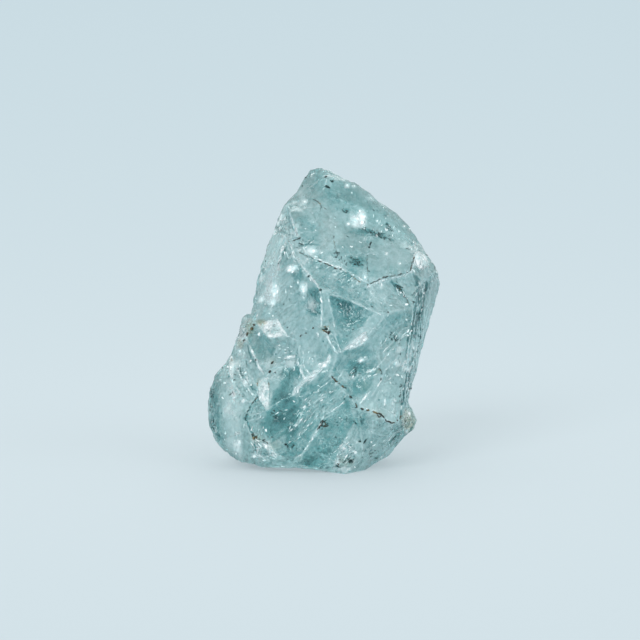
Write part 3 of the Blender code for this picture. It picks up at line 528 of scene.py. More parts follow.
def noise_at(points, size, seed):
    """Smooth noise from -1 to 1 at each point, with features of the given size."""
    offset = Vector((seed * 7.3, seed * 3.1, seed * 5.7))
    return np.array([noise.noise(Vector(point) / size + offset) for point in points])


def splinter_at(points, size, slope, seed):
    """Height of a surface broken into small flat facets, each tilted its own way."""
    offset = Vector((seed * 4.1, seed * 9.2, seed * 2.3))
    heights = np.empty(len(points))
    for index, point in enumerate(points):
        spot = Vector(point) / size + offset
        centre = noise.voronoi(spot)[1][0]
        tilt = noise.cell_vector(centre) * 2.0 - Vector((1.0, 1.0, 1.0))
        heights[index] = tilt.dot(spot - centre) * size * slope
    return heights


bpy.ops.object.select_all(action="DESELECT")
cad_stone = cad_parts["aquamarine_crystal"]
crystal = cad_stone.copy()
crystal.data = cad_stone.data.copy()
crystal.name = "crystal"
crystal.parent = None
bpy.context.scene.collection.objects.link(crystal)
bpy.context.view_layer.objects.active = crystal
crystal.select_set(True)
bpy.ops.object.mode_set(mode="EDIT")
bpy.ops.mesh.select_all(action="SELECT")
bpy.ops.mesh.remove_doubles(threshold=0.001 * MM)
bpy.ops.object.mode_set(mode="OBJECT")

# Number the broken faces, and note the ridges where they meet
solid = bmesh.new()
solid.from_mesh(crystal.data)
solid.faces.ensure_lookup_table()
face_number = [-1] * len(solid.faces)
face_facing = []
for first in solid.faces:
    if face_number[first.index] >= 0:
        continue
    facing = first.normal.copy()
    face_number[first.index] = len(face_facing)
    waiting = [first]
    while waiting:
        face = waiting.pop()
        for edge in face.edges:
            if edge.calc_face_angle(0.0) > RIDGE_ANGLE:
                continue
            for other in edge.link_faces:
                if face_number[other.index] < 0 and other.normal.angle(facing) < FACE_SPREAD:
                    face_number[other.index] = len(face_facing)
                    waiting.append(other)
    face_facing.append(facing)

ridge_points = []
ridge_turns = []
for edge in solid.edges:
    turn = edge.calc_face_angle_signed(0.0)
    if abs(turn) > RIDGE_ANGLE:
        first, last = (corner.co / MM for corner in edge.verts)
        steps = max(1, round((last - first).length / RIDGE_STEP))
        for step in range(steps + 1):
            ridge_points.append(first.lerp(last, step / steps))
            ridge_turns.append(turn)
ridge_tree = KDTree(len(ridge_points))
for index, point in enumerate(ridge_points):
    ridge_tree.insert(point, index)
ridge_tree.balance()
plain_tree = BVHTree.FromBMesh(solid)
solid.free()

# Split long edges until the mesh is fine, and finest on the broad side that shows the most
bpy.ops.object.mode_set(mode="EDIT")
bpy.ops.mesh.select_mode(type="EDGE")
bpy.ops.mesh.select_all(action="DESELECT")
bpy.ops.object.mode_set(mode="OBJECT")
for step in range(PASSES):
    ends = read(crystal.data.edges, "vertices", 2, int)
    places = read(crystal.data.vertices, "co")
    squareness = squareness_of(places, read(crystal.data.vertices, "normal"))
    broad = (squareness > BROAD_FROM)[ends].any(axis=1)
    lengths = np.linalg.norm(places[ends[:, 0]] - places[ends[:, 1]], axis=1) / MM
    too_long = lengths > np.where(broad, BROAD_EDGE, OTHER_EDGE)
    if not too_long.any():
        break
    crystal.data.edges.foreach_set("select", too_long)
    bpy.ops.object.mode_set(mode="EDIT")
    bpy.ops.mesh.subdivide(number_cuts=1, smoothness=0.0, ngon=False)
    bpy.ops.mesh.select_all(action="SELECT")
    bpy.ops.mesh.quads_convert_to_tris(quad_method="SHORTEST_DIAGONAL", ngon_method="BEAUTY")
    bpy.ops.mesh.select_all(action="DESELECT")
    bpy.ops.object.mode_set(mode="OBJECT")
crystal.data.polygons.foreach_set("use_smooth", [True] * len(crystal.data.polygons))
count = len(crystal.data.vertices)
places = read(crystal.data.vertices, "co")
facings = read(crystal.data.vertices, "normal")
points = places / MM

# Each triangle knows its broken face, and each vertex how near the next ridge is and how sharp
corners = read(crystal.data.loops, "vertex_index", 1, int).ravel()
triangles = corners.reshape(-1, 3)
triangle_face = np.array([
    face_number[plain_tree.find_nearest(Vector(middle))[2]] for middle in places[triangles].mean(axis=1)
])
own_face = np.empty(count, int)
own_face[corners] = np.repeat(triangle_face, 3)
ridge_gap = np.empty(count)
ridge_turn = np.empty(count)
for index in range(count):
    nearest = ridge_tree.find(Vector(points[index]))
    ridge_gap[index] = nearest[2]
    ridge_turn[index] = ridge_turns[nearest[1]]

spots = to_picture(places)
squareness = squareness_of(places, facings)
fronting = smooth_step(-0.02, 0.10, squareness)
spots = spots + 0.8 * np.column_stack((noise_at(points, 0.30, 1), noise_at(points, 0.30, 2)))

random.seed(24)
face_tone = np.array([random.uniform(-0.06, 0.06) for _ in face_facing])
face_relief = np.array([random.uniform(0.5, 1.5) for _ in face_facing])
face_run = np.array([random.uniform(20.0, 130.0) for _ in face_facing])
tone = PLAIN_TONE + face_tone[own_face] * (1.0 - 0.7 * fronting)
relief = face_relief[own_face]
run = face_run[own_face]
# Painted light and shade go into the tone here, with the stone's own colour: patches, round glints and
# shades, and fine lines of highlight and shade
for change, softness, broken, way, ring in PATCHES.values():
    share = within_ring(spots, ring, softness * 0.75) * fronting
    tone += change * share
    relief = np.where(share > 0.5, broken, relief) if broken != 1 else relief
    run = np.where(share > 0.5, way, run)
# Round painted glints and painted shade, with the milky veils and dark clouds
for across, down, half_wide, half_high, change in ROUND_VEILS_GLINTS_AND_SHADES.values():
    gap = oval_gap(spots, across, down, half_wide, half_high)
    tone += change * (1.0 - smooth_step(0.45, 1.45, gap)) * fronting
breaks = [np.clip(0.75 + 0.9 * noise_at(points, 0.5, 8 + turn), 0.2, 1.2) * fronting for turn in range(3)]
# Fine lines of painted highlight and painted shade
for half_width, change, course in FINE_LIGHT_AND_SHADE_LINES.values():
    share = 1.0 - smooth_step(half_width * 0.35, half_width * 1.35, far_from_line(spots, course))
    tone += 1.3 * change * share * breaks[len(course) % 3]
# Painted rim shade: where the faces are seen edge on, and on the thin rim of the top, the stone is
# painted a touch paler and then tinted a deeper sea green
flank = (1.0 - smooth_step(0.10, 0.50, squareness)) * fronting
tone += EDGE_ON_SHADE_TONE * flank
flank = np.maximum(flank, 0.7 * within_ring(spots, THIN_RIM, 6.0) * fronting)
stain = stain_at(spots) * fronting

# Ridges are chipped along most of their length, and painted paler there: partly white chips, and
# partly a painted highlight where they catch the light
sharpness = smooth_step(math.radians(12), math.radians(45), np.abs(ridge_turn))
ridge_noise = noise_at(points, 0.8, 3)
on_ridge = (1.0 - smooth_step(0.03, 0.16, ridge_gap)) * sharpness
tone += RIDGE_TONE * on_ridge * np.clip(0.45 + 1.2 * ridge_noise, 0.0, 1.0)

# Shell-like ripples, and the long ribs of the old prism face, raised in the relief and painted in
# the tone as bands of light and shade
shaken = 1.4 * noise_at(points, 0.55, 6) + 0.7 * noise_at(points, 0.25, 7)
ripple_height = np.zeros(count)
for across, down, spacing, depth, ring in RIPPLES.values():
    share = within_ring(spots, ring, 2.5) * fronting
    away = np.hypot(spots[:, 0] - across, spots[:, 1] - down)
    wave = np.sin(away * 2.0 * math.pi / spacing + 2.2 * shaken)
    shade = 0.35 * wave - 0.65 * np.clip(wave, 0.0, 1.0)
    tone += 1.5 * share * depth * shade * np.clip(1.0 + 0.8 * shaken, 0.2, 2.0)
    ripple_height += share * depth * wave
in_prism = within_ring(spots, PATCHES["prism"][4], 1.5) * fronting
drawn = noise_at(points * np.array((1.0, 1.0, 0.22)), 0.45, 9)
ribs = np.sin((spots[:, 0] + 0.14 * spots[:, 1]) * 1.75 + 4.0 * drawn)
tone += RIB_TONE * in_prism * ribs


def streak_places(points, facing, way, number, bend):
    """Coordinates for streaks, which run their own way on each broken face."""
    flat_across = np.cross(np.array((0.0, 0.0, 1.0)), facing)
    flat_across /= np.linalg.norm(flat_across, axis=1)[:, None] + 1e-9
    flat_up = np.cross(facing, flat_across)
    u = (points * flat_across).sum(axis=1)
    v = (points * flat_up).sum(axis=1)
    cosine = np.cos(np.radians(way))
    sine = np.sin(np.radians(way))
    return np.column_stack(((u * cosine + v * sine) * 0.22, v * cosine - u * sine + bend, number * 1.7))


mean_facing = np.array(face_facing)
bend = 0.5 * noise_at(points, 3.0, 5)
grain = streak_places(points, mean_facing[own_face], run, own_face, bend)
corner_face = np.repeat(triangle_face, 3)
corner_run = np.repeat(run[triangles[:, 0]], 3)
corner_grain = streak_places(
    points[corners], mean_facing[corner_face], corner_run, corner_face, bend[corners]
)

# The relief: hollows, small flat splinters, streaks and chipped ridges
streaks = np.array([noise.noise(Vector(spot) * 2.6) for spot in grain])
fine_streaks = np.array([noise.noise(Vector(spot) * 5.5 + Vector((9.0, 2.0, 4.0))) for spot in grain])
height = 0.035 * splinter_at(points, 1.1, 1.0, 1) * 1.6
height += 0.050 * splinter_at(points, 0.55, 1.0, 2) * 1.6
height += 0.016 * (1.0 - 2.0 * np.abs(streaks))
height += 0.008 * (1.0 - 2.0 * np.abs(fine_streaks))
height += 0.010 * noise_at(points, 0.45, 4)
height *= relief * (1.0 - 0.5 * flank)
chipped = (1.0 - smooth_step(0.0, 0.30, ridge_gap)) * sharpness
chipped *= np.clip(ridge_noise * 2.0 + 0.2, 0.0, 1.0)
height -= CHIP_DEPTH * chipped * (ridge_turn > 0.0)
height += RIPPLE_DEPTH * ripple_height + RIB_DEPTH * in_prism * ribs
height *= smooth_step(0.02, KEEP_FLAT_BELOW, points[:, 2])
places = places + facings * (height * MM)[:, None]
places = np.clip(places, np.array(stone_low), np.array(stone_high))
crystal.data.vertices.foreach_set("co", places.ravel())
crystal.data.update()
facings = read(crystal.data.vertices, "normal")

paint(crystal.data, "tone", tone)
paint(crystal.data, "flank", flank)
paint(crystal.data, "stain", stain)
paint(crystal.data, "broken", relief)
grain_layer = crystal.data.attributes.new("grain", "FLOAT_VECTOR", "CORNER")
grain_layer.data.foreach_set("vector", corner_grain.ravel())


def material_of(name):
    """A new material, with its nodes, its links and its main shader."""
    material = bpy.data.materials.new(name)
    material.use_nodes = True
    tree = material.node_tree
    return material, tree.nodes, tree.links, tree.nodes["Principled BSDF"]


beryl, nodes, links, shader = material_of("beryl")


def node_of(kind, **settings):
    """Add a node and set its plain inputs."""
    node = nodes.new(kind)
    for name, value in settings.items():
        node.inputs[name.replace("_", " ")].default_value = value
    return node


def sum_of(operation, first, second, third=None):
    """Add a Math node; a number or an output may stand for each value."""
    node = nodes.new("ShaderNodeMath")
    node.operation = operation
    for index, value in enumerate((first, second, third)):
        if value is None:
            continue
        if isinstance(value, (int, float)):
            node.inputs[index].default_value = value
        else:
            links.new(value, node.inputs[index])
    return node.outputs["Value"]


def layer(name, output="Fac"):
    """Read one of the mesh's own layers."""
    node = nodes.new("ShaderNodeAttribute")
    node.attribute_name = name
    return node.outputs[output]


def ramp_of(value, *stops):
    """The colour that a value gives, between stops of place and colour."""
    node = nodes.new("ShaderNodeValToRGB")
    elements = node.color_ramp.elements
    elements[0].position, elements[0].color = stops[0]
    elements[1].position, elements[1].color = stops[-1]
    for place, colour in stops[1:-1]:
        elements.new(place).color = colour
    links.new(value, node.inputs["Fac"])
    return node.outputs["Color"]


def tinted_by(tint, share, colour):
    """A colour multiplied by a tint, by as much as the share says."""
    node = nodes.new("ShaderNodeMix")
    node.data_type = "RGBA"
    node.blend_type = "MULTIPLY"
    node.inputs["B"].default_value = tint
    links.new(share, node.inputs["Factor"])
    links.new(colour, node.inputs["A"])
    return node.outputs["Result"]


def spread_of(value, low, high, least=0.0, most=1.0):
    """A value from low to high spread out from least to most."""
    node = node_of("ShaderNodeMapRange", From_Min=low, From_Max=high, To_Min=least, To_Max=most)
    links.new(value, node.inputs["Value"])
    return node.outputs["Result"]


def noise_of(vector, scale, detail=3.0, roughness=0.55):
    """Add a noise pattern on the given coordinates."""
    node = node_of("ShaderNodeTexNoise", Scale=scale, Detail=detail, Roughness=roughness)
    links.new(vector, node.inputs["Vector"])
    return node.outputs["Fac"]


def specks_of(vector, scale, reach, rarity):
    """Add sparse round specks: 1 inside a speck and 0 outside."""
    node = node_of("ShaderNodeTexVoronoi", Scale=scale)
    links.new(vector, node.inputs["Vector"])
    chosen = nodes.new("ShaderNodeSeparateColor")
    links.new(node.outputs["Color"], chosen.inputs["Color"])
    near = sum_of("LESS_THAN", node.outputs["Distance"], reach)
    return sum_of("MULTIPLY", near, sum_of("GREATER_THAN", chosen.outputs["Red"], rarity))


def cracks_of(vector, scale, width):
    """Add a net of crooked hairlines: 1 on a line and 0 away from it."""
    shake = node_of("ShaderNodeTexNoise", Scale=scale * 1.7, Detail=2.0)
    links.new(vector, shake.inputs["Vector"])
    moved = nodes.new("ShaderNodeVectorMath")
    moved.operation = "MULTIPLY_ADD"
    moved.inputs[1].default_value = (0.9 / scale, 0.9 / scale, 0.9 / scale)
    links.new(shake.outputs["Color"], moved.inputs[0])
    links.new(vector, moved.inputs[2])
    net = node_of("ShaderNodeTexVoronoi", Scale=scale)
    net.feature = "DISTANCE_TO_EDGE"
    links.new(moved.outputs["Vector"], net.inputs["Vector"])
    return spread_of(net.outputs["Distance"], width, 0.0)


own_place = nodes.new("ShaderNodeTexCoord").outputs["Object"]
streak_pattern = noise_of(layer("grain", "Vector"), 3.2, 4.0, 0.6)
mottle = noise_of(own_place, 700.0, 4.0, 0.6)
milk = noise_of(own_place, 260.0, 3.0, 0.5)
stipple = noise_of(own_place, 3200.0, 2.0, 0.6)
broken_up = layer("broken")

# How pale the stone is at each point: its painted tone, painted light and shade included, and what
# the small patterns add to it
PATTERNS = (
    (streak_pattern, sum_of("MULTIPLY", broken_up, 0.32)),
    (mottle, 0.25),
    (milk, 0.18),
    (stipple, 0.30),
)
paleness = layer("tone")
for pattern, strength in PATTERNS:
    paleness = sum_of("MULTIPLY_ADD", sum_of("SUBTRACT", pattern, 0.5), strength, paleness)
# Specks: their scale, their reach, and how much paler they make the stone; the pale specks are
# painted sparkles
for scale, reach, strength in ((2600.0, 0.18, 0.22), (2100.0, 0.16, -0.30)):
    specks = specks_of(own_place, scale, reach, SPECK_RARITY)
    paleness = sum_of("MULTIPLY_ADD", specks, strength, paleness)
# Cracks: their scale and width, the scale of the patches that show them, where the patches
# close, and how much paler they make the stone
for scale, width, patch_scale, closed, strength in (
    (900.0, 0.030, 800.0, 0.50, 0.22),
    (2300.0, 0.045, 1500.0, 0.52, 0.16),
):
    cracks = cracks_of(own_place, scale, width)
    opened = spread_of(noise_of(own_place, patch_scale, 1.0), closed, closed + CRACK_FADE)
    paleness = sum_of("MULTIPLY_ADD", sum_of("MULTIPLY", cracks, opened), strength, paleness)

colour = ramp_of(paleness, *TONES)
# Painted rim shade: the flanks seen edge on are tinted a deeper sea green
colour = tinted_by(EDGE_ON_SHADE_TINT, layer("flank"), colour)
colour = tinted_by(STAIN_TINT, sum_of("MULTIPLY", layer("stain"), sum_of("MULTIPLY", mottle, 2.0)), colour)
links.new(colour, shader.inputs["Base Color"])
links.new(spread_of(paleness, 0.35, 1.05, 0.04, 0.35), shader.inputs["Roughness"])


def splinters_of(vector, scale):
    """Small flat facets, each tilted its own way: the height above their cells' middles."""
    cells = node_of("ShaderNodeTexVoronoi", Scale=scale)
    links.new(vector, cells.inputs["Vector"])
    values = []
    for first, second in (
        (vector, cells.outputs["Position"]),
        (cells.outputs["Color"], (0.5, 0.5, 0.5)),
    ):
        gap = nodes.new("ShaderNodeVectorMath")
        gap.operation = "SUBTRACT"
        links.new(first, gap.inputs[0])
        if isinstance(second, tuple):
            gap.inputs[1].default_value = second
        else:
            links.new(second, gap.inputs[1])
        values.append(gap.outputs["Vector"])
    rise = nodes.new("ShaderNodeVectorMath")
    rise.operation = "DOT_PRODUCT"
    links.new(values[0], rise.inputs[0])
    links.new(values[1], rise.inputs[1])
    return rise.outputs["Value"]


large_splinters = splinters_of(layer("grain", "Vector"), 1.6)
small_splinters = splinters_of(layer("grain", "Vector"), 4.5)
bump_height = sum_of("MULTIPLY_ADD", small_splinters, 1.1, large_splinters)
bump_height = sum_of("MULTIPLY_ADD", streak_pattern, 0.05, bump_height)
bump_height = sum_of("MULTIPLY_ADD", mottle, 0.03, bump_height)
bump_height = sum_of("MULTIPLY", bump_height, broken_up)
bump = node_of("ShaderNodeBump", Strength=1.0, Distance=SPLINTER_RELIEF)
links.new(bump_height, bump.inputs["Height"])
links.new(bump.outputs["Normal"], shader.inputs["Normal"])
shader.inputs["IOR"].default_value = BERYL_IOR
shader.inputs["Transmission Weight"].default_value = CLEARNESS
absorption = node_of("ShaderNodeVolumeAbsorption", Density=DEPTH_OF_COLOUR)
absorption.inputs["Color"].default_value = SEA_GREEN
links.new(absorption.outputs["Volume"], nodes["Material Output"].inputs["Volume"])
crystal.data.materials.clear()
crystal.data.materials.append(beryl)
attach(crystal, "root")
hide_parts("aquamarine_crystal")


# Frosted skin: breaks that are rough enough to look like frost, with the stone's own colour
# showing between their grains, and milky veils of fine cracks that open at the skin. Some of the
# frost and some of the veils are painted sheen and glints, white where glossy facets catch the
# light. They belong to the crystal, and are drawn as layers a hundredth of a millimetre above its faces.
SIDES = (90, 180, 270)
SKIN_STAIN_TINT = (0.60, 0.48, 0.26, 1.0)
# Frost, and painted sheen where it is named gloss, streak or flank: the side it is on, how soft its
# edge is, how thick it is, and its corners
FROST_AND_SHEEN = {
    "quad": (0, 1.0, 0.64, [(256.5, 323.5), (266, 320.5), (278, 318.5), (283, 327), (288.8, 336.6),
        (267.8, 338.2)]),
    "tile": (0, 0.9, 0.64, [(258, 380), (268, 376.5), (269.6, 391), (269, 410), (265.5, 409), (260, 400),
        (258, 390)]),
    "gloss": (0, 1.4, 0.8, [(413.6, 255), (418, 251), (426, 256), (427, 265), (420, 270), (415, 264.3)]),
    "streak": (0, 1.2, 0.62, [(344, 350), (356, 339), (365.6, 333), (368.4, 338), (362, 344.5),
        (350, 349.5)]),
    "notch": (0, 2.0, 0.3, [(243, 317), (251, 318), (251, 330), (243, 344), (236, 350), (239, 330)]),
    "chip": (0, 2.0, 0.3, [(288, 214), (281, 217), (276, 229), (283, 233), (290, 226)]),
    "chip_foot": (0, 1.6, 0.22, [(275, 233), (285, 235), (290, 246), (286, 262), (281, 250)]),
    "frost": (0, 2.5, 0.34, [(343, 440), (356, 448), (358, 458), (344, 469), (333, 467)]),
    "shards": (0, 2.0, 0.36, [(256, 444), (266, 443), (278, 455), (268, 463), (251, 457)]),
    "flank": (0, 2.0, 0.26, [(410, 340), (419, 344), (414, 362), (406, 370), (403, 360)]),
    "lobe_ridge": (0, 1.6, 0.3, [(230, 356), (235, 357), (234, 376), (240, 392), (247, 401), (240, 400),
        (231, 386)]),
    "right_face": (90, 2.0, 0.4, [(300, 268), (318, 262), (330, 276), (316, 290)]),
    "right_low": (90, 2.0, 0.4, [(322, 396), (338, 390), (346, 408), (328, 416)]),
    "back_face": (180, 2.0, 0.4, [(268, 286), (284, 278), (292, 300), (274, 308)]),
    "back_low": (180, 2.0, 0.4, [(338, 388), (360, 380), (366, 398), (346, 408)]),
    "back_foot": (180, 2.0, 0.4, [(286, 436), (310, 430), (316, 446), (290, 452)]),
    "left_face": (270, 2.0, 0.4, [(318, 246), (332, 250), (334, 276), (320, 280)]),
    "left_low": (270, 2.0, 0.4, [(300, 404), (322, 398), (326, 416), (306, 424)]),
}
# Veils, and painted glints on glossy facets, side by side: across, down, half-lengths, turn, and
# how thick they are
VEILS_AND_GLINTS = {
    0: [
        (282, 217, 6, 3.5, 45, 0.9), (279, 223.5, 3, 4, 0, 0.7), (272, 285, 10, 20, 0, 0.3),
        (413.5, 345, 4, 8, 0, 0.55), (416, 355, 3, 6, 15, 0.5), (400, 350, 6, 5, 0, 0.5),
        (408, 413, 5, 5, 0, 0.8), (404.5, 421, 3, 7, 0, 0.6), (411, 424, 4, 6, 0, 0.5),
        (392, 341, 5, 4, 30, 0.3), (362, 217, 5, 8.5, 0, 0.9), (355, 221.5, 6, 6, 0, 0.9),
        (292, 268.7, 6.5, 4.6, 15, 1.0), (303.2, 289, 5, 8.5, 0, 1.0), (274.5, 290, 5.5, 11, 0, 1.0),
        (273.5, 301, 4, 5, 0, 1.0), (261, 299.5, 5, 4, 30, 1.0), (313, 251.5, 8, 6, 0, 0.85),
        (365, 277, 3, 7, -15, 0.75), (381.5, 285, 3.6, 6, 0, 0.6), (347.5, 186, 4, 3, 0, 0.7),
        (371, 198.5, 6, 4, -30, 0.45), (304.5, 200, 4, 6, 20, 0.5), (394, 231, 10, 5, -35, 0.42),
        (326, 240, 8, 6, 0, 0.2), (237.5, 447, 6, 11, 0, 0.7), (232, 367, 3.4, 12, 0, 0.75),
        (229, 410, 8, 14, 0, 0.4), (246, 382, 4, 6, -30, 0.6), (388, 402, 10, 7, 0, 0.45),
        (362, 360, 6, 4, 15, 0.85), (397, 363, 6, 5, 0, 0.75), (407.5, 368.5, 5, 4.5, 0, 1.0),
        (345, 449, 7, 6, 0, 0.7), (338, 462.5, 4, 5, 0, 0.7), (254, 455.5, 5, 4, 0, 0.8),
        (267, 447, 6, 4, -30, 0.7), (319, 366, 9, 3.5, 38, 0.45), (305, 379.5, 11, 3.5, 44, 0.35),
        (299, 423, 11, 3, 50, 0.5), (357, 342, 12, 4, 32, 0.7), (330, 350, 3.5, 8, -15, 0.25),
        (240, 351, 5, 4, 0, 0.6), (272, 328, 10, 6, 20, 0.6), (263, 392, 4, 12, 0, 0.5),
        (418, 260, 6, 7, 0, 0.8), (427, 262, 4, 5, 0, 0.5), (404, 300, 7, 6, 0, 0.35),
        (352, 292, 8, 5, 20, 0.22), (290, 357.5, 6, 2.5, 12, 0.7), (284, 240, 5, 6, 0, 0.45),
        (408, 413, 4, 4, 0, 0.6), (406.5, 430, 4, 4, 0, 0.6), (385, 402, 3, 4, 0, 0.8),
    ],
}


def strewn(azimuth, number, seed, *spans):
    """Marks strewn by luck over a side's picture: across, down, then a value from each span."""
    luck = random.Random(azimuth + seed)
    return [(luck.uniform(250, 390), luck.uniform(195, 455), *(luck.uniform(*span) for span in spans))
            for mark in range(number)]


for side in SIDES:
    VEILS_AND_GLINTS[side] = strewn(side, 10, 1, (7, 12), (5, 10), (0, 40), (0.45, 0.55))


def covers(azimuth):
    """Where the skin falls in a side's picture, plain and shaken, and whether it faces that way."""
    sway = 1.6 * np.column_stack((noise_at(points, 0.45, 11), noise_at(points, 0.45, 12)))
    sway += 0.8 * np.column_stack((noise_at(points, 0.2, 13), noise_at(points, 0.2, 14)))
    flat = to_picture(places, azimuth)
    facing_side = smooth_step(0.0, 0.15, squareness_of(places, facings, azimuth))
    return flat + 0.25 * sway, flat + sway, facing_side


def skin_layer(name, cover, lift):
    """A layer of the skin where it is covered, lifted along the way it faces."""
    kept = triangles[cover[triangles].max(axis=1) > 0.02]
    used, renumbered = np.unique(kept, return_inverse=True)
    mesh = bpy.data.meshes.new(name)
    lifted = np.clip(places[used] + facings[used] * lift, np.array(stone_low), np.array(stone_high))
    mesh.from_pydata(lifted.tolist(), [], renumbered.reshape(-1, 3).tolist())
    mesh.polygons.foreach_set("use_smooth", [True] * len(mesh.polygons))
    paint(mesh, "cover", cover[used])
    paint(mesh, "stain", stain[used])
    piece = bpy.data.objects.new(name, mesh)
    bpy.context.scene.collection.objects.link(piece)
    return piece


frost_and_sheen_cover = np.zeros(count)
veil_and_glint_cover = np.zeros(count)
for azimuth, marks in VEILS_AND_GLINTS.items():
    plain_spots, side_spots, facing_side = covers(azimuth)
    for side, softness, strength, ring in FROST_AND_SHEEN.values():
        if side == azimuth:
            share = within_ring(plain_spots, ring, softness) * facing_side * strength
            frost_and_sheen_cover = np.maximum(frost_and_sheen_cover, share)
    for across, down, half_wide, half_high, turn, strength in marks:
        gap = oval_gap(side_spots, across, down, half_wide, half_high, turn)
        share = (1.0 - smooth_step(0.1, 1.35, gap)) * facing_side * strength
        veil_and_glint_cover = np.maximum(veil_and_glint_cover, share)
frost_and_sheen_cover *= smooth_step(0.1, 0.4, points[:, 2])
veil_and_glint_cover *= smooth_step(0.5, 1.2, points[:, 2])

# Each layer: its name and cover, how far it is lifted, the scale of its grains, where it turns
# from open to closed, its roughness, and its dim and bright whites
for name, cover, lift, grain_scale, opened, closed, roughness, dim, bright in (
    ("frost_and_sheen_skin", frost_and_sheen_cover, 0.012 * MM, 3000.0, 0.92, 1.28, 0.35,
     (0.46, 0.62, 0.63, 1.0), (0.82, 0.86, 0.87, 1.0)),
    ("milky_veils_and_glints", veil_and_glint_cover, 0.006 * MM, 1100.0, 0.62, 1.50, 0.5,
     (0.42, 0.65, 0.67, 1.0), (0.78, 0.89, 0.90, 1.0)),
):
    piece = skin_layer(name, cover, lift)
    powder, nodes, links, shader = material_of(name)
    own_place = nodes.new("ShaderNodeTexCoord").outputs["Object"]
    powder_grains = noise_of(own_place, grain_scale, 5.0, 0.70)
    whites = ramp_of(noise_of(own_place, grain_scale * 0.6), (0.38, dim), (0.56, bright))
    stained = tinted_by(SKIN_STAIN_TINT, sum_of("MULTIPLY", layer("stain"), powder_grains), whites)
    links.new(stained, shader.inputs["Base Color"])
    shader.inputs["Roughness"].default_value = roughness
    thick = spread_of(sum_of("ADD", layer("cover"), powder_grains), opened, closed)
    edge = sum_of("MINIMUM", sum_of("MULTIPLY", layer("cover"), 5.0), 1.0)
    links.new(sum_of("MULTIPLY", thick, edge), shader.inputs["Alpha"])
    piece.data.materials.append(powder)
    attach(piece, "root")


# Seams: hairline cracks that iron has stained, from black through brown to ochre. They lie in
# the stone's skin along the breaks, and come and go where the crack closes.
SEAM_STEP = 0.7
SEAM_SCALE = 0.42
SEAM_SWAY = 1.1
SEAM_CLOSED = 0.20
SEAM_RISE = 0.25
RUST_SHARE = 0.28
RUST = (
    (0.50, (0.020, 0.022, 0.018, 1.0)),
    (0.60, (0.075, 0.066, 0.034, 1.0)),
    (0.72, (0.25, 0.19, 0.085, 1.0)),
)
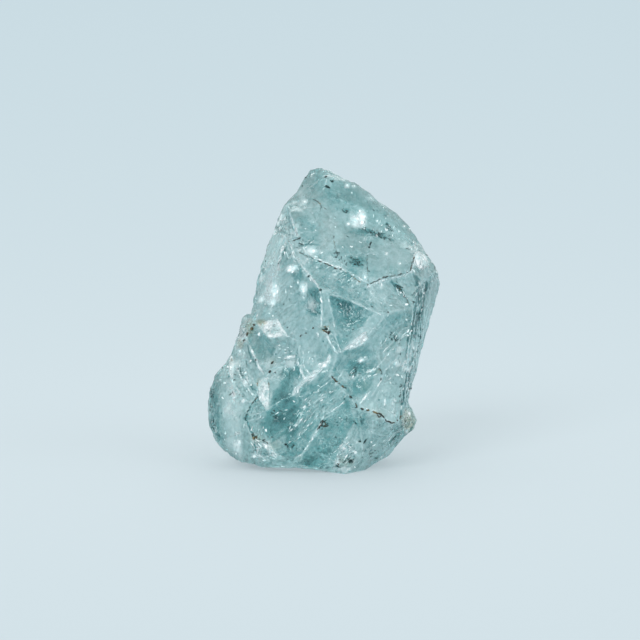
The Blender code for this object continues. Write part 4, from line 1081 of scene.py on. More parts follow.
# Each seam: the side it is on, its half-width in millimetres before SEAM_SCALE, and its course
SEAMS = {
    "vee": (0, 0.075, [(309, 257), (318, 260.5), (326, 264), (333, 267.5), (340.5, 269.5), (347, 273.5),
        (352.6, 277), (360, 281.5), (368, 284.5), (376, 281), (385, 277), (396, 275.2), (404, 273.5),
        (410, 270.8), (411.5, 265.7), (413, 260), (416, 254.5)]),
    "vee_start": (0, 0.05, [(299, 252), (304, 255), (309, 257.5)]),
    "crest": (0, 0.075, [(288.5, 241.6), (292, 241), (297, 239.2), (301.5, 237.5)]),
    "branch": (0, 0.06, [(313, 199), (317, 201.5), (320, 203.2), (321.4, 207), (324, 208.2),
        (327.5, 209.4)]),
    "twig": (0, 0.05, [(321.4, 206), (320.3, 209), (320, 212.5)]),
    "dotted": (0, 0.036, [(367.3, 254), (367, 262), (367.3, 268), (368, 276), (368, 284)]),
    "dotted_left": (0, 0.03, [(334, 240), (335, 247), (337, 252), (338, 258)]),
    "arc": (0, 0.05, [(392, 282.6), (397, 286), (400, 289), (405, 296), (409.8, 306.5)]),
    "middle": (0, 0.05, [(299, 336.5), (304, 334.5)]),
    "crack_left": (0, 0.16, [(299.8, 336.4), (305, 333.5), (307, 331.5)]),
    "crack_right": (0, 0.12, [(311, 330), (313.4, 327.7), (317.4, 329.8), (322, 329.8)]),
    "ring": (0, 0.15, [(320.5, 328), (323, 330.5), (328.5, 333), (330, 329.5), (329.4, 325.7)]),
    "ring_top": (0, 0.12, [(329, 326.5), (325, 326.8), (321, 328)]),
    "ochre": (0, 0.21, [(253, 320), (255.5, 323.5), (253, 327), (249.5, 331), (246, 337), (242.6, 343.8)]),
    "ochre_right": (0, 0.18, [(257, 323), (260.5, 323), (263.5, 321)]),
    "kite_crack": (0, 0.16, [(276, 357.5), (273.5, 361), (270.7, 364.6)]),
    "kite_crack_low": (0, 0.16, [(272, 368), (270.5, 371), (268.6, 373.4)]),
    "tile_side": (0, 0.06, [(257.3, 378), (257.2, 382.5), (257.6, 387)]),
    "tile_right": (0, 0.05, [(268.8, 382), (269, 388), (268.5, 394)]),
    "plate": (0, 0.06, [(258, 396), (254, 401), (250.5, 405.5), (247, 413), (245.3, 418.9), (248, 425)]),
    "seam_top": (0, 0.13, [(329, 373), (333.5, 378.5), (339.5, 384), (343, 387), (345.9, 389.6)]),
    "seam_knot": (0, 0.17, [(348, 395), (350.5, 397), (353.3, 399)]),
    "seam_low": (0, 0.12, [(355, 403), (357.3, 407.6), (362, 409), (368, 410.3), (372, 412),
        (375.4, 412.7), (381.4, 414.3), (386.8, 421), (391.4, 423.4), (395, 422.2), (399.5, 418.5),
        (402.5, 415)]),
    "seam_ring": (0, 0.085, [(374.5, 413), (377, 411.8), (381, 414), (379.5, 417.5), (375.5, 413.5)]),
    "grey_edge": (0, 0.13, [(324, 420.5), (320.8, 425), (318, 428.5), (315.3, 433.5)]),
    "grey_ring": (0, 0.085, [(321, 424), (324, 421.5), (326, 424), (323.5, 426.5), (330, 425)]),
    "toe": (0, 0.19, [(252, 433.5), (256, 436), (257, 440), (252.5, 436.5)]),
    "toe_right": (0, 0.16, [(261, 440.5), (264.5, 441), (268.5, 444)]),
    "toe_low": (0, 0.07, [(253, 446.5), (254.5, 449), (256.3, 452)]),
    "lobe": (0, 0.07, [(231.8, 357.5), (231.6, 364)]),
    "triangle": (0, 0.06, [(376.5, 371), (379.5, 368.5), (381.5, 372), (381.5, 375)]),
    "frost_left": (0, 0.07, [(335.5, 461), (338.5, 466), (341, 468)]),
    "clouded": (0, 0.06, [(354, 421), (356.5, 424.5)]),
    "clouded_y": (0, 0.06, [(360, 416.5), (361.8, 424), (364.5, 418.5)]),
    "right_low": (90, 0.07, [(310, 401), (331, 404), (345, 421)]),
    "right_foot": (90, 0.06, [(331, 404), (327, 424), (336, 441)]),
    "back_high": (180, 0.05, [(322, 249), (330, 268), (316, 291), (301, 297)]),
    "back_low": (180, 0.07, [(284, 381), (297, 399), (322, 402), (338, 417), (361, 415)]),
    "back_foot": (180, 0.05, [(322, 402), (318, 425), (326, 447)]),
    "back_stain": (180, 0.09, [(386, 374), (393, 386), (391, 397), (399, 409)]),
    "left_low": (270, 0.06, [(292, 336), (310, 345), (321, 363)]),
    "left_foot": (270, 0.06, [(310, 405), (329, 411), (336, 430)]),
}

skin = BVHTree.FromPolygons([tuple(place) for place in places],
                            [tuple(face.vertices) for face in crystal.data.polygons])


def on_stone(across, down, azimuth=0):
    """The point of the stone's skin seen at a place in the picture, and the way it faces."""
    eye, right, up, back = sight(azimuth)
    way = right * (across - PICTURE / 2) + up * (PICTURE / 2 - down) - back * (PICTURE * LENS / SENSOR)
    place, facing, _, _ = skin.ray_cast(eye, way.normalized())
    return place, facing


def hold_in(piece):
    """Keep a piece laid on the skin inside the stone's own length, width and height."""
    for corner in piece.data.vertices:
        corner.co = [min(max(value, low), high) for value, low, high in zip(corner.co, stone_low, stone_high)]


seam_curves = bpy.data.curves.new("iron_stained_seams", "CURVE")
seam_curves.dimensions = "3D"
seam_curves.bevel_depth = MM
seam_curves.bevel_resolution = 1
seam_curves.use_fill_caps = True
for seed, (azimuth, half_width, course) in enumerate(SEAMS.values()):
    pieces = [[]]
    for (ax, ay), (bx, by) in zip(course[:-1], course[1:]):
        steps = max(1, round(math.hypot(bx - ax, by - ay) / SEAM_STEP))
        for step in range(steps):
            across = ax + (bx - ax) * step / steps
            down = ay + (by - ay) * step / steps
            sway = noise.noise(Vector((across * 0.55, down * 0.55, seed)))
            lean = noise.noise(Vector((down * 0.55, across * 0.55, seed + 50.0)))
            width = noise.noise(Vector((across * 0.33, down * 0.33, seed + 90.0)))
            width += 0.5 * noise.noise(Vector((across * 0.9, down * 0.9, seed + 30.0)))
            place, facing = on_stone(across + SEAM_SWAY * sway, down + SEAM_SWAY * lean, azimuth)
            radius = half_width * SEAM_SCALE * (0.78 + 1.4 * width)
            if place is None or radius < SEAM_CLOSED * half_width:
                pieces.append([])
            else:
                pieces[-1].append((place + facing * SEAM_RISE * radius * MM, radius))
    for piece in pieces:
        if len(piece) < 3:
            continue
        line = seam_curves.splines.new("POLY")
        line.points.add(len(piece) - 1)
        for point, (place, radius) in zip(line.points, piece):
            point.co = (*place, 1.0)
            point.radius = radius
        line.points[0].radius *= 0.3
        line.points[-1].radius *= 0.3
bpy.ops.object.select_all(action="DESELECT")
seams = bpy.data.objects.new("iron_stained_seams", seam_curves)
bpy.context.scene.collection.objects.link(seams)
bpy.context.view_layer.objects.active = seams
seams.select_set(True)
bpy.ops.object.convert(target="MESH")
seams = bpy.context.object
hold_in(seams)

# The iron is ochre where the stone round it is stained, and nearly black elsewhere
paint(seams.data, "rust", stain_at(to_picture(read(seams.data.vertices, "co"))))

iron, nodes, links, shader = material_of("iron_stain")
iron_pattern = noise_of(nodes.new("ShaderNodeTexCoord").outputs["Object"], 1500.0)
rust = ramp_of(sum_of("MULTIPLY_ADD", layer("rust"), RUST_SHARE, iron_pattern), *RUST)
links.new(rust, shader.inputs["Base Color"])
shader.inputs["Roughness"].default_value = 0.7
seams.data.materials.clear()
seams.data.materials.append(iron)
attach(seams, "root")


# Grains: specks of dark mica and black tourmaline that the crystal grew round. Each is an
# uneven lump, half sunk in the skin. Still finer needles lie in smudges round them.
GRAIN_SIZE = 1.1
GRAIN_THICK = 0.045
NEEDLE_THICK = 0.03
# Grains, side by side: across, down, half-lengths and turn
GRAINS = {
    0: [
        (326, 177, 1.6, 1.2, 20), (331.6, 181, 2.0, 1.5, -20), (327.5, 186.8, 2.9, 1.5, -30),
        (302.5, 186, 1.0, 0.8, 40), (306, 177.5, 1.6, 0.5, 10), (347, 211, 1.2, 0.8, -30),
        (373.5, 210, 1.4, 0.6, -50), (371, 232.5, 0.9, 0.6, 0), (374, 232, 1.1, 0.6, 30),
        (376, 234, 0.9, 0.7, 0), (379, 236, 1.0, 0.6, -30), (381, 237.5, 1.1, 0.6, 10),
        (384, 239, 1.2, 0.6, -20), (385.6, 237.8, 0.8, 0.5, 0), (372, 235, 1.2, 0.5, 40),
        (387, 224, 1.4, 0.9, -10), (390, 227.5, 0.8, 0.5, -40), (391.5, 230.5, 1.1, 0.6, -60),
        (370.2, 243.5, 2.2, 0.9, 75), (369.4, 247, 1.8, 1.3, 60), (367.3, 255.8, 0.7, 0.6, 0),
        (367.3, 268, 1.0, 0.7, 40), (369, 271.2, 0.8, 0.6, 0), (337.7, 252.5, 1.5, 0.7, -60),
        (336, 257, 1.6, 0.6, -10), (334, 236.5, 1.4, 0.5, 80), (347.3, 236.2, 1.8, 0.6, -40),
        (357.5, 262, 0.9, 0.7, 0), (359.8, 261.3, 0.8, 0.6, 0), (355.8, 264, 0.7, 0.5, 0),
        (362, 264.5, 1.0, 0.5, 30), (320.2, 289.7, 1.5, 1.3, 0), (308.7, 276, 2.0, 1.1, 50),
        (283.8, 304.3, 0.9, 0.7, 0), (387.8, 312.2, 1.6, 1.1, 0), (372.3, 306.8, 1.2, 0.7, -30),
        (339, 279.3, 0.8, 0.6, 0), (398, 286, 2.0, 0.8, -30), (404.5, 297, 1.7, 0.7, -45),
        (408, 249, 2.4, 0.5, -40), (353, 329.5, 0.8, 0.7, 0), (346.8, 336, 1.1, 0.6, -50),
        (390.7, 334.5, 1.1, 0.6, -30), (394, 337, 1.0, 0.4, 20), (397.5, 339.5, 1.0, 0.4, 10),
        (400.4, 354.3, 0.9, 0.8, 0), (380.8, 379.5, 2.4, 1.2, 70), (255.8, 360, 1.4, 0.9, -50),
        (211.5, 421, 1.3, 1.0, 0), (212.2, 426, 1.6, 0.8, 60), (213, 397, 1.0, 0.6, 30),
        (214.5, 402, 1.0, 0.5, 10), (211, 404, 0.9, 0.5, 70), (355.5, 423.3, 1.8, 0.7, -60),
        (359.7, 441.2, 1.8, 1.2, 0), (364.7, 441.8, 3.0, 1.3, 80), (350.6, 461, 2.6, 1.3, -10),
        (337.8, 466, 1.9, 1.0, -40), (376.3, 458, 1.9, 1.0, 10), (362.5, 457.5, 1.1, 0.5, -30),
        (286, 444.5, 1.7, 0.7, 35), (287.5, 459.3, 0.9, 0.6, 0), (272, 437, 1.1, 0.5, -20),
        (322, 423, 1.1, 0.7, 30), (325, 421.5, 1.0, 0.6, 60), (324.5, 426, 1.1, 0.6, -30),
        (327, 424.5, 1.4, 0.4, 0), (322, 429, 0.9, 0.6, 0), (252, 434.7, 2.4, 0.9, -20),
        (254, 438, 2.8, 1.1, -40), (263.5, 441, 2.8, 0.8, -30), (351, 396.8, 2.6, 1.1, -35),
        (326, 329, 2.0, 1.4, 10), (323.5, 330, 1.6, 0.9, -30), (345.5, 387.8, 1.2, 0.7, -45),
        (356.5, 407.5, 1.1, 0.8, 0), (378, 415.5, 1.0, 0.7, 0), (367.5, 410.5, 1.0, 0.7, 0),
        (335.6, 437, 1.0, 0.5, -60), (346.5, 419, 0.7, 0.5, 0),
    ],
}
for side in SIDES:
    GRAINS[side] = strewn(side, 12, 2, (0.6, 1.4), (0.4, 0.8), (-60, 60))
# Smudges of fine needles and specks: across, down, half-lengths, turn, and how many
NEEDLES = {
    0: [
        (377, 234.5, 15, 3.4, -20, 44), (357, 262, 8, 4, -10, 26), (388, 227, 5, 4, 0, 14),
        (346, 211, 4, 3, 0, 10), (324, 424, 6, 5, 30, 18), (399, 288, 7, 3, -45, 14),
        (212, 396, 2.4, 16, 0, 18), (213.5, 424, 2.4, 10, 0, 12), (393, 337, 8, 4, -20, 14),
        (407, 419, 5, 9, 0, 14), (348, 461, 8, 4, 10, 14), (353, 372, 6, 5, 30, 16),
        (337, 252, 4, 6, -60, 8), (300, 245, 8, 4, 10, 10), (282, 228, 5, 7, 30, 12),
        (344, 262, 8, 3, -30, 8), (276, 414, 7, 4, 0, 12), (291, 446, 6, 4, 0, 8),
        (394, 436, 3, 10, 15, 12), (372, 454, 10, 3, 30, 10), (258, 437, 8, 3, -20, 10),
        (240, 372, 5, 10, -30, 10), (401, 392, 3, 14, 5, 12), (415, 300, 3, 14, 5, 10),
    ],
}
for side in SIDES:
    NEEDLES[side] = strewn(side, 4, 3, (8, 12), (4, 6), (0, 40), (5, 8))
PIXEL = VIEW_DISTANCE / (PICTURE * LENS / SENSOR)


def spot_in(across, down, lengthwise, sideways, turn):
    """The flat spot some way along and across a mark that is turned by some degrees."""
    cosine = math.cos(math.radians(turn))
    sine = math.sin(math.radians(turn))
    return across + lengthwise * cosine - sideways * sine, down - lengthwise * sine - sideways * cosine


def lay_on(template, across, down, azimuth, half_long, half_wide, half_thick, turn, tilt=0.0):
    """Lay a copy of a small piece on the skin at a place in a side's picture, turned and sized."""
    place, facing = on_stone(across, down, azimuth)
    _, right, up, back = sight(azimuth)
    if place is None or facing.dot(back) < 0.2:
        return None
    way = right * math.cos(math.radians(turn)) + up * math.sin(math.radians(turn))
    way = (way - facing * way.dot(facing)).normalized()
    axes = Matrix((way, facing.cross(way), facing)).transposed()
    lean = Matrix.Rotation(math.radians(tilt), 3, "X") @ Matrix.Rotation(math.radians(tilt * 0.7), 3, "Y")
    sizes = Matrix.Diagonal((half_long * PIXEL, half_wide * PIXEL, half_thick * MM))
    copy = template.copy()
    copy.data = template.data.copy()
    for corner in copy.data.vertices:
        lump = noise.noise(corner.co * 2.3 + Vector((across, down, azimuth)))
        corner.co = place + axes @ lean @ sizes @ (corner.co * (0.95 + 1.1 * lump))
    bpy.context.scene.collection.objects.link(copy)
    return copy


def join_as(name, template, copies):
    """Join the copies that were laid into one piece, and clear their template away."""
    copies = [copy for copy in copies if copy]
    bpy.ops.object.select_all(action="DESELECT")
    for copy in copies:
        copy.select_set(True)
    bpy.context.view_layer.objects.active = copies[0]
    bpy.ops.object.join()
    bpy.data.objects.remove(template, do_unlink=True)
    copies[0].name = name
    return copies[0]


bpy.ops.object.select_all(action="DESELECT")
bpy.ops.mesh.primitive_ico_sphere_add(subdivisions=1, radius=1.0)
lump = bpy.context.object
copies = []
for azimuth, marks in GRAINS.items():
    for across, down, half_long, half_wide, turn in marks:
        copies.append(lay_on(lump, across, down, azimuth, half_long * GRAIN_SIZE, half_wide * GRAIN_SIZE,
                             GRAIN_THICK, turn))
random.seed(31)
for azimuth, smudges in NEEDLES.items():
    for across, down, half_long, half_wide, turn, number in smudges:
        for needle in range(int(number)):
            lengthwise = half_long * max(-1.0, min(1.0, random.gauss(0.0, 0.5)))
            sideways = half_wide * max(-1.0, min(1.0, random.gauss(0.0, 0.5)))
            x, y = spot_in(across, down, lengthwise, sideways, turn)
            needle_long = random.uniform(0.6, 1.9)
            needle_wide = random.uniform(0.36, 0.62)
            copies.append(lay_on(lump, x, y, azimuth, needle_long, needle_wide, NEEDLE_THICK,
                                 turn + random.gauss(0.0, 45.0)))
grains = join_as("dark_grains", lump, copies)
hold_in(grains)
grains.data.polygons.foreach_set("use_smooth", [True] * len(grains.data.polygons))

mica, nodes, links, shader = material_of("dark_mica")
smoke_pattern = noise_of(nodes.new("ShaderNodeTexCoord").outputs["Object"], 1900.0)
smoke = ramp_of(smoke_pattern, (0.42, (0.008, 0.028, 0.029, 1.0)), (0.70, (0.03, 0.08, 0.08, 1.0)))
links.new(smoke, shader.inputs["Base Color"])
shader.inputs["Roughness"].default_value = 0.45
shader.inputs["Specular IOR Level"].default_value = 0.25
grains.data.materials.clear()
grains.data.materials.append(mica)
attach(grains, "root")


# Creases: hairline steps and closed cracks between the breaks, which show a deep blue-green, and
# painted shade where it falls in the creases and steps. They are slivers of the stone itself, laid
# along its fine lines of shade, along the hollows of its shell-like ripples, and in brushed smudges
# where many small steps lie side by side.
DASH_STEP = 1.6
DASH_THICK = 0.02
# Brushed smudges of thin dashes: across, down, half-lengths, turn, and how many dark and pale; the
# dark ones are painted shade and the pale ones painted glints
BRUSHED = {
    0: [
        (308, 418, 30, 12, 48, 44, 8), (322, 396, 20, 8, 40, 24, 3), (421, 302, 26, 5, 75, 60, 14),
        (408, 380, 22, 4, 80, 24, 12), (318, 372, 16, 3, 42, 4, 12), (392, 336, 14, 6, 48, 6, 4),
        (288, 352, 10, 8, 12, 6, 8), (212, 405, 30, 4, 93, 14, 4), (246, 380, 18, 6, -60, 12, 12),
        (291, 257, 14, 3, -65, 8, 8), (305, 245, 10, 6, 30, 8, 6), (395, 436, 8, 5, 70, 10, 6),
        (346, 452, 9, 8, 40, 14, 16), (408, 421, 10, 4, 70, 12, 12), (263, 450, 12, 6, -35, 12, 14),
        (400, 291, 12, 4, -50, 10, 6), (422, 262, 9, 6, 60, 8, 12), (280, 226, 8, 5, 50, 10, 12),
        (343, 308, 9, 9, -40, 10, 3), (314, 300, 6, 10, 5, 8, 1), (356, 366, 10, 6, 35, 8, 2),
        (284, 412, 8, 8, 20, 8, 2), (272, 328, 10, 6, 20, 10, 4), (263, 393, 4, 12, 80, 8, 2),
    ],
}
for side in SIDES:
    BRUSHED[side] = strewn(side, 8, 4, (14, 20), (8, 12), (20, 75), (12, 18), (9, 13))


def dashes_of(share, sign, seed):
    """Short thin dashes, pale painted glints for sign 1 and dark painted shade for -1, on the fine lines, in
    the ripple hollows and in the smudges.
    """
    luck = random.Random(seed)
    found = []
    for half_width, change, course in FINE_LIGHT_AND_SHADE_LINES.values():
        if change * sign < 0:
            continue
        for (ax, ay), (bx, by) in zip(course[:-1], course[1:]):
            turn = math.degrees(math.atan2(ay - by, bx - ax))
            for step in range(max(1, round(math.hypot(bx - ax, by - ay) / DASH_STEP))):
                if luck.random() > 3.0 * share * abs(change):
                    continue
                way = luck.random()
                x = ax + (bx - ax) * way + luck.gauss(0.0, 0.4)
                y = ay + (by - ay) * way + luck.gauss(0.0, 0.4)
                half_long = luck.uniform(0.8, 2.8)
                half_wide = luck.uniform(0.22, 0.42)
                found.append((x, y, half_long, half_wide, turn + luck.gauss(0.0, 8.0)))
    for across, down, spacing, depth, ring in RIPPLES.values():
        low_x, high_x = min(x for x, y in ring), max(x for x, y in ring)
        low_y, high_y = min(y for x, y in ring), max(y for x, y in ring)
        number = int((high_x - low_x) * (high_y - low_y) * depth * 0.26)
        for dash in range(number if sign < 0 else 0):
            x = luck.uniform(low_x, high_x)
            y = luck.uniform(low_y, high_y)
            if within_ring(np.array([[x, y]]), ring, 0.5)[0] < 0.5:
                continue
            away = math.hypot(x - across, y - down)
            snapped = spacing * (math.floor(away / spacing) + 0.75) / away
            turn = 90.0 - math.degrees(math.atan2(y - down, x - across))
            half_long = luck.uniform(0.8, 2.0)
            half_wide = luck.uniform(0.24, 0.42)
            found.append((across + (x - across) * snapped, down + (y - down) * snapped,
                          half_long, half_wide, turn + luck.gauss(0.0, 12.0)))
    yield 0, found
    for azimuth, smudges in BRUSHED.items():
        found = []
        for across, down, half_long, half_wide, turn, dark_number, pale_number in smudges:
            for dash in range(int(pale_number if sign > 0 else dark_number)):
                lengthwise = half_long * max(-1.0, min(1.0, luck.gauss(0.0, 0.55)))
                sideways = half_wide * max(-1.0, min(1.0, luck.gauss(0.0, 0.55)))
                x, y = spot_in(across, down, lengthwise, sideways, turn)
                dash_long = luck.uniform(0.8, 3.2)
                dash_wide = luck.uniform(0.22, 0.42)
                found.append((x, y, dash_long, dash_wide, turn + luck.gauss(0.0, 9.0)))
        yield azimuth, found


bpy.ops.object.select_all(action="DESELECT")
bpy.ops.mesh.primitive_ico_sphere_add(subdivisions=1, radius=1.0)
sliver = bpy.context.object
copies = []
for azimuth, dashes in dashes_of(1.0, -1.0, 42):
    for x, y, half_long, half_wide, turn in dashes:
        copies.append(lay_on(sliver, x, y, azimuth, half_long, half_wide, DASH_THICK, turn))
creases = join_as("cracks_and_crease_shade", sliver, copies)
hold_in(creases)
creases.data.polygons.foreach_set("use_smooth", [True] * len(creases.data.polygons))

# Painted shade in the creases: a deep blue-green
deep, nodes, links, shader = material_of("crack_and_crease_shade")
teal_pattern = noise_of(nodes.new("ShaderNodeTexCoord").outputs["Object"], 1500.0)
teal = ramp_of(teal_pattern, (0.38, (0.035, 0.13, 0.14, 1.0)), (0.62, (0.12, 0.27, 0.28, 1.0)))
links.new(teal, shader.inputs["Base Color"])
shader.inputs["Roughness"].default_value = 0.4
creases.data.materials.clear()
creases.data.materials.append(deep)
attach(creases, "root")


# Glints: painted highlights where small facets catch the light, which also stand for fresh chips and
# air-filled cracks that show white. Each is a thin uneven scale that stands a hair proud of the skin
# where it broke.
CHIP_THICK = 0.02
# Glints, side by side: across, down, half-lengths and turn
GLINTS = {
    0: [
        (276, 286, 1.2, 3.4, -10), (274.5, 295, 1.6, 3.6, 5), (277.5, 291, 0.8, 3.0, -5),
        (272, 306, 1.2, 2.0, 0), (281.7, 215.9, 1.9, 1.2, 20), (284.8, 218.4, 2.2, 0.9, 45),
        (280.2, 220.2, 3.0, 0.9, 50), (304.4, 202, 1.9, 1.5, 30), (274.6, 234.5, 1.6, 0.8, 20),
        (285.3, 236, 2.4, 0.6, -40), (282.8, 246.7, 1.6, 1.2, 0), (295.5, 267, 2.6, 1.8, 40),
        (289.9, 270.4, 3.0, 2.0, 20), (291.2, 266.6, 2.0, 1.4, -20), (293, 271.6, 2.2, 1.2, 30),
        (303.2, 288, 2.6, 3.4, 0), (303.6, 291.6, 1.8, 2.2, 0), (298, 282.4, 1.2, 2.2, -10),
        (304.2, 297.8, 1.0, 1.2, 0), (275.6, 292.7, 1.8, 3.2, 0), (274.2, 288, 1.0, 1.2, 0),
        (273, 301.8, 1.4, 2.4, 0), (261.8, 299.8, 2.8, 1.6, 60), (256.2, 298.8, 1.5, 0.9, -50),
        (265.4, 303.9, 1.2, 0.9, 0), (263.2, 266.6, 1.6, 0.6, -45), (258.8, 275.3, 1.0, 0.6, 60),
        (262, 281, 0.9, 0.7, 0), (310.3, 279.4, 2.6, 0.7, -70), (321.5, 301.3, 2.2, 0.7, -60),
        (285.8, 291.6, 3.2, 0.5, 82), (315.4, 230.4, 0.9, 0.9, 0), (313.4, 222.2, 1.5, 0.7, 80),
        (312.3, 251.8, 3.2, 2.0, 40), (316, 256.4, 2.6, 1.1, -20), (322, 252.9, 1.4, 1.2, 40),
        (305.5, 228.8, 0.7, 0.7, 0), (273, 316, 1.6, 1.2, 0), (347.5, 185.5, 2.0, 1.5, 30),
        (353.7, 186, 1.9, 1.0, 0), (351.6, 192.7, 0.8, 1.2, 0), (371, 198.3, 1.4, 0.9, -30),
        (383, 208, 1.3, 1.0, 20), (359.8, 211, 1.6, 1.4, 0), (362.9, 215.6, 2.4, 3.6, -10),
        (361.8, 222.8, 2.8, 2.6, 20), (354.7, 221.2, 2.8, 2.0, -30), (358.5, 219, 2.0, 1.4, 10),
        (348.4, 224, 1.9, 1.6, 0), (334.8, 218.5, 1.0, 1.0, 0), (335.3, 227.1, 1.0, 0.9, 0),
        (377.3, 221, 1.7, 0.9, 50), (381.7, 225.1, 1.4, 0.8, 30), (376.6, 235.3, 1.9, 0.6, 60),
        (404.2, 226.3, 1.3, 1.0, 0), (409.6, 228.9, 0.9, 0.9, 0), (399, 231.4, 1.6, 1.2, 0),
        (399, 239, 1.2, 0.9, 0), (360.3, 242.4, 1.8, 0.8, -35), (386.8, 253.7, 1.3, 1.5, 0),
        (399.6, 263.9, 2.0, 0.8, 45), (345.5, 256, 1.0, 0.6, 0), (406.7, 271.7, 2.6, 0.6, 20),
        (417, 244.2, 1.2, 0.8, 0), (413.4, 242.6, 1.0, 1.6, 0), (418.4, 257.5, 3.4, 2.6, 60),
        (417.8, 263.5, 2.8, 1.8, 70), (422.5, 259, 1.6, 2.2, 0), (427.6, 261.5, 1.6, 2.2, 20),
        (424, 254.5, 1.2, 0.7, 60), (364.9, 277.3, 1.1, 2.6, 0), (369, 284.5, 2.4, 0.6, 30),
        (381.7, 284.5, 0.9, 2.4, -10), (358.3, 292.6, 1.1, 1.1, 0), (381.2, 302.8, 1.6, 0.6, -60),
        (390.9, 305.4, 1.8, 1.0, 10), (400.6, 292.6, 1.6, 1.0, 0), (407.2, 298.6, 1.0, 1.0, 0),
        (406.7, 304.4, 2.0, 1.4, 0), (352, 314, 1.4, 0.5, -40), (239.9, 351.6, 2.4, 1.6, 0),
        (231.2, 357, 1.2, 3.0, 0), (230.8, 368, 0.9, 3.6, 0), (232.2, 381, 1.2, 2.0, 0),
        (233, 401, 1.9, 1.1, -50), (243, 401, 1.6, 1.4, 30), (239.9, 365.9, 1.9, 0.8, -50),
        (241.4, 377.6, 1.6, 1.2, 10), (246, 381.7, 3.4, 1.0, -60), (251, 385.3, 1.8, 0.8, 10),
        (252.7, 351.6, 3.6, 0.7, -62), (258.3, 366, 4.4, 0.7, -56), (288.9, 356.9, 4.2, 0.9, 14),
        (294.5, 368, 2.6, 0.9, -65), (300.5, 370, 3.2, 0.7, -66), (303, 376, 2.2, 0.9, -66),
        (318.5, 334.3, 2.4, 0.8, -70), (312.9, 358.8, 1.7, 1.0, -40), (279.2, 345.5, 1.8, 1.4, 0),
        (320.5, 363.9, 2.9, 1.2, 20), (324.4, 365, 2.2, 2.4, 0), (327.5, 361.5, 1.2, 2.2, -20),
        (313.4, 376.1, 5.0, 1.6, 45), (316.8, 371.4, 2.6, 1.2, 40), (309.3, 380.6, 4.2, 1.0, 45),
        (306, 377.5, 2.8, 0.7, 45), (298, 390.4, 3.6, 1.1, 75), (295.2, 388, 2.6, 0.9, 60),
        (289.4, 394.5, 2.8, 0.7, 30), (318.5, 385.8, 1.8, 0.7, -20), (308.8, 402.1, 3.8, 0.6, 50),
        (310.3, 393.5, 1.6, 0.5, 70), (304.2, 406.7, 2.6, 0.6, 40), (293.5, 401.6, 1.9, 1.3, 0),
        (284.8, 418.5, 1.3, 1.6, -20), (301, 420.5, 3.8, 1.2, 60), (292, 429.2, 3.8, 0.7, 30),
        (297, 425, 3.6, 0.7, 45), (317, 415.9, 2.6, 0.6, 20), (305.7, 430.2, 3.2, 0.5, 45),
        (312, 423, 3.4, 0.5, 42), (307, 412, 3.6, 0.5, 44), (322, 400, 3.2, 0.5, 40),
        (330, 392, 3.0, 0.5, 38), (299, 438, 3.4, 0.5, 40), (290, 442, 3.0, 0.5, 38),
        (225.6, 433.3, 1.2, 2.4, 10), (225, 440, 1.0, 1.2, 0), (239.4, 443.5, 2.0, 4.0, 0),
        (236.3, 453.7, 1.4, 1.6, 0), (254.2, 456.2, 2.7, 1.9, 20), (266.4, 447, 2.6, 1.7, -30),
        (264.4, 460.3, 3.2, 0.9, 15), (273.6, 458.3, 1.6, 1.0, 0), (260.3, 446.5, 3.0, 0.8, -50),
        (276, 454.7, 2.8, 0.6, -45), (270, 452, 1.6, 1.0, 60), (266, 430.2, 1.2, 1.8, 0),
        (350.6, 347, 4.2, 1.3, 25), (357.8, 342, 4.6, 1.3, 36), (364.9, 339.4, 2.8, 1.3, 35),
        (361.8, 343.5, 3.8, 0.8, 25), (360.8, 337.6, 3.0, 0.9, 35), (363.9, 334.2, 1.6, 0.7, 30),
        (354, 346.5, 3.0, 0.7, 22), (346, 349.2, 2.4, 0.6, 30), (381.2, 342, 1.9, 0.9, 60),
        (330.2, 342, 3.6, 0.8, -72), (334.3, 348.6, 2.8, 0.8, -60), (329.6, 357, 3.2, 0.8, 80),
        (361.8, 360.3, 3.0, 1.7, 20), (364.9, 357.2, 1.7, 0.9, 30), (356.2, 360.8, 1.0, 0.7, 0),
        (396, 362.9, 1.6, 1.6, 0), (412.3, 363.9, 1.4, 2.0, 0), (407.2, 369, 2.5, 1.7, -30),
        (396.5, 375, 2.0, 0.7, -30), (401.6, 375.8, 1.6, 0.6, -50), (384.8, 401, 1.4, 2.6, 0),
        (393, 403.9, 1.3, 1.1, 0), (395.5, 400.4, 0.9, 1.3, 20), (382.8, 390.9, 0.9, 0.8, 0),
        (340.4, 376, 3.2, 0.6, 60), (352.7, 378, 3.4, 0.7, 85), (371, 371, 7.0, 0.6, 28),
        (363.9, 398.6, 6.0, 0.7, 50), (361, 402, 3.0, 0.7, 50), (408.8, 413.4, 2.0, 1.7, 0),
        (406.7, 431.2, 1.9, 1.8, 0), (412, 417, 1.0, 1.4, 0), (339.9, 417.4, 1.3, 0.7, -40),
        (342, 419.5, 1.0, 0.7, -30), (344.5, 448.6, 2.2, 1.9, 0), (355.2, 452.7, 1.8, 1.5, 0),
        (337.9, 462.9, 1.6, 2.3, 0), (345.5, 442, 1.3, 1.0, 0), (381.2, 456.7, 1.5, 1.0, 0),
        (389.4, 444.5, 1.0, 1.8, -20), (354.7, 467, 1.5, 1.0, 0), (406.7, 389.4, 1.0, 2.2, 10),
        (390.4, 382.8, 2.4, 0.6, -40), (350, 456, 1.2, 0.8, 0), (414, 348.5, 1.6, 2.4, 0),
        (416, 353, 1.6, 0.8, 0), (413, 363, 1.8, 2.2, 20), (407.5, 369, 3.2, 2.2, -35),
        (397.5, 375, 2.8, 0.9, -30), (402, 377, 1.6, 0.8, -40), (395, 364, 2.6, 1.0, 10),
        (409, 413.5, 1.8, 1.6, 0), (406.5, 430.5, 2.0, 2.0, 0), (403.5, 424, 0.9, 2.2, 0),
        (405, 417, 1.0, 1.4, 0), (407.5, 388, 0.9, 2.4, 0), (410, 333, 1.2, 2.6, 20),
        (418, 344, 0.8, 2.2, 10),
    ],
}
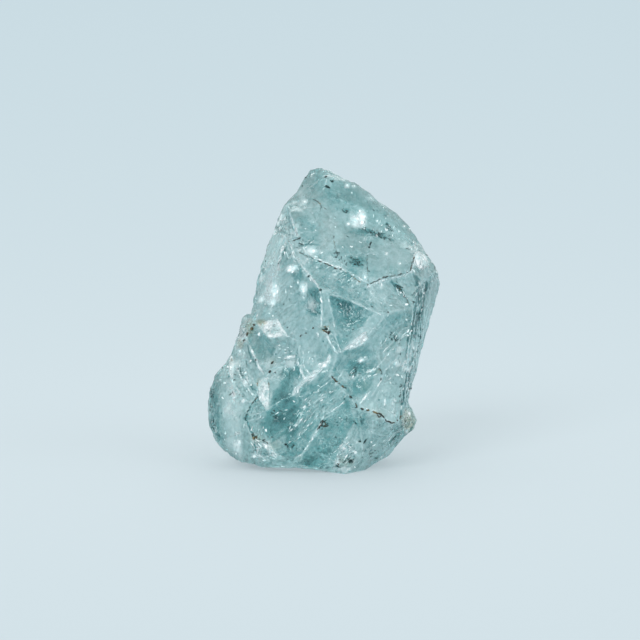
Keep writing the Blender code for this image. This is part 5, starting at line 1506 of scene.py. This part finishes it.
for side in SIDES:
    GLINTS[side] = strewn(side, 45, 5, (1.4, 3.2), (0.7, 1.6), (-60, 60))

bpy.ops.object.select_all(action="DESELECT")
bpy.ops.mesh.primitive_circle_add(vertices=7, radius=1.0, fill_type="NGON")
scale_chip = bpy.context.object
bpy.ops.object.mode_set(mode="EDIT")
bpy.ops.mesh.select_all(action="SELECT")
bpy.ops.mesh.extrude_region_move(TRANSFORM_OT_translate={"value": (0, 0, 1.0)})
bpy.ops.transform.resize(value=(0.7, 0.7, 1.0))
bpy.ops.mesh.select_all(action="SELECT")
bpy.ops.mesh.normals_make_consistent(inside=False)
bpy.ops.object.mode_set(mode="OBJECT")
random.seed(7)
copies = []
for azimuth, marks in GLINTS.items():
    for across, down, half_long, half_wide, turn in marks:
        shards = 1 + min(8, round(half_long * half_wide))
        for shard in range(shards):
            size = random.uniform(0.35, 0.75) if shards > 1 else 0.85
            away = math.sqrt(random.random()) * (1.0 - size)
            round_by = random.uniform(0.0, 2.0 * math.pi)
            lengthwise = half_long * away * math.cos(round_by)
            sideways = half_wide * away * math.sin(round_by)
            x, y = spot_in(across, down, lengthwise, sideways, turn)
            shard_turn = turn + random.uniform(-25.0, 25.0)
            copies.append(lay_on(scale_chip, x, y, azimuth, half_long * size, half_wide * size, CHIP_THICK,
                                 shard_turn, random.uniform(-5.0, 5.0)))
for azimuth, dashes in dashes_of(0.24, 1.0, 43):
    for x, y, half_long, half_wide, turn in dashes:
        copies.append(lay_on(scale_chip, x, y, azimuth, half_long, half_wide, CHIP_THICK, turn))
glints = join_as("glints_and_chips", scale_chip, copies)
hold_in(glints)

# The painted highlight colour of the glints and bright chips: near white
frost, nodes, links, shader = material_of("glint_and_chip_white")
snow_pattern = noise_of(nodes.new("ShaderNodeTexCoord").outputs["Object"], 2600.0, 2.0)
snow = ramp_of(snow_pattern, (0.34, (0.45, 0.68, 0.70, 1.0)), (0.60, (0.97, 0.99, 0.99, 1.0)))
links.new(snow, shader.inputs["Base Color"])
shader.inputs["Roughness"].default_value = 0.25
shader.inputs["IOR"].default_value = BERYL_IOR
glints.data.materials.clear()
glints.data.materials.append(frost)
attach(glints, "root")


# The floor: a wide sheet of pale blue-grey film on a dim light table, which the stone stands
# on. It is a touch deeper in colour where it runs out of the light, far behind the stone.
FLOOR_RADIUS = 4.0
HALF_FADE = 0.10
GLOW = 0.44
bpy.ops.object.select_all(action="DESELECT")
bpy.ops.mesh.primitive_circle_add(vertices=96, radius=FLOOR_RADIUS, fill_type="NGON", location=(0, 0, 0))
floor = bpy.context.object
floor.name = "floor"
film, nodes, links, shader = material_of("pale_film")
away = nodes.new("ShaderNodeVectorMath")
away.operation = "LENGTH"
links.new(nodes.new("ShaderNodeTexCoord").outputs["Object"], away.inputs[0])
falloff = sum_of("DIVIDE", HALF_FADE, sum_of("ADD", away.outputs["Value"], HALF_FADE))
for name, near, far in (
    ("Base Color", (0.304, 0.341, 0.357, 1.0), (0.258, 0.307, 0.328, 1.0)),
    ("Emission Color", (0.705, 0.800, 0.845, 1.0), (0.600, 0.720, 0.780, 1.0)),
):
    blend = nodes.new("ShaderNodeMix")
    blend.data_type = "RGBA"
    blend.inputs["A"].default_value = far
    blend.inputs["B"].default_value = near
    links.new(falloff, blend.inputs["Factor"])
    links.new(blend.outputs["Result"], shader.inputs[name])
shader.inputs["Emission Strength"].default_value = GLOW
shader.inputs["Roughness"].default_value = 1.0
shader.inputs["Specular IOR Level"].default_value = 0.0
floor.data.materials.append(film)
floor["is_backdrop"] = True


# The light: an even pale room, with one broad soft source from the upper left and weaker ones
# from the right and from behind, all far enough away to light the floor evenly.
room = bpy.data.worlds.new("room")
bpy.context.scene.world = room
room.use_nodes = True
room.node_tree.nodes["Background"].inputs["Color"].default_value = (0.93, 0.97, 0.98, 1)
room.node_tree.nodes["Background"].inputs["Strength"].default_value = 0.96
for name, way, spread, strength in (
    ("key", (-0.45, -0.80, 0.60), 28.0, 1.20),
    ("side", (0.90, -0.45, 0.55), 40.0, 0.40),
    ("back", (0.10, 0.80, 0.70), 40.0, 0.40),
):
    sun = bpy.data.lights.new(name, "SUN")
    sun.angle = math.radians(spread)
    sun.energy = strength
    lamp = bpy.data.objects.new(name, sun)
    lamp.rotation_euler = Vector(way).to_track_quat("Z", "Y").to_euler()
    bpy.context.scene.collection.objects.link(lamp)
bpy.context.scene.view_settings.view_transform = "Standard"

sizes = [[list(corner) for corner in box] for box in (cad_box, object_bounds())]
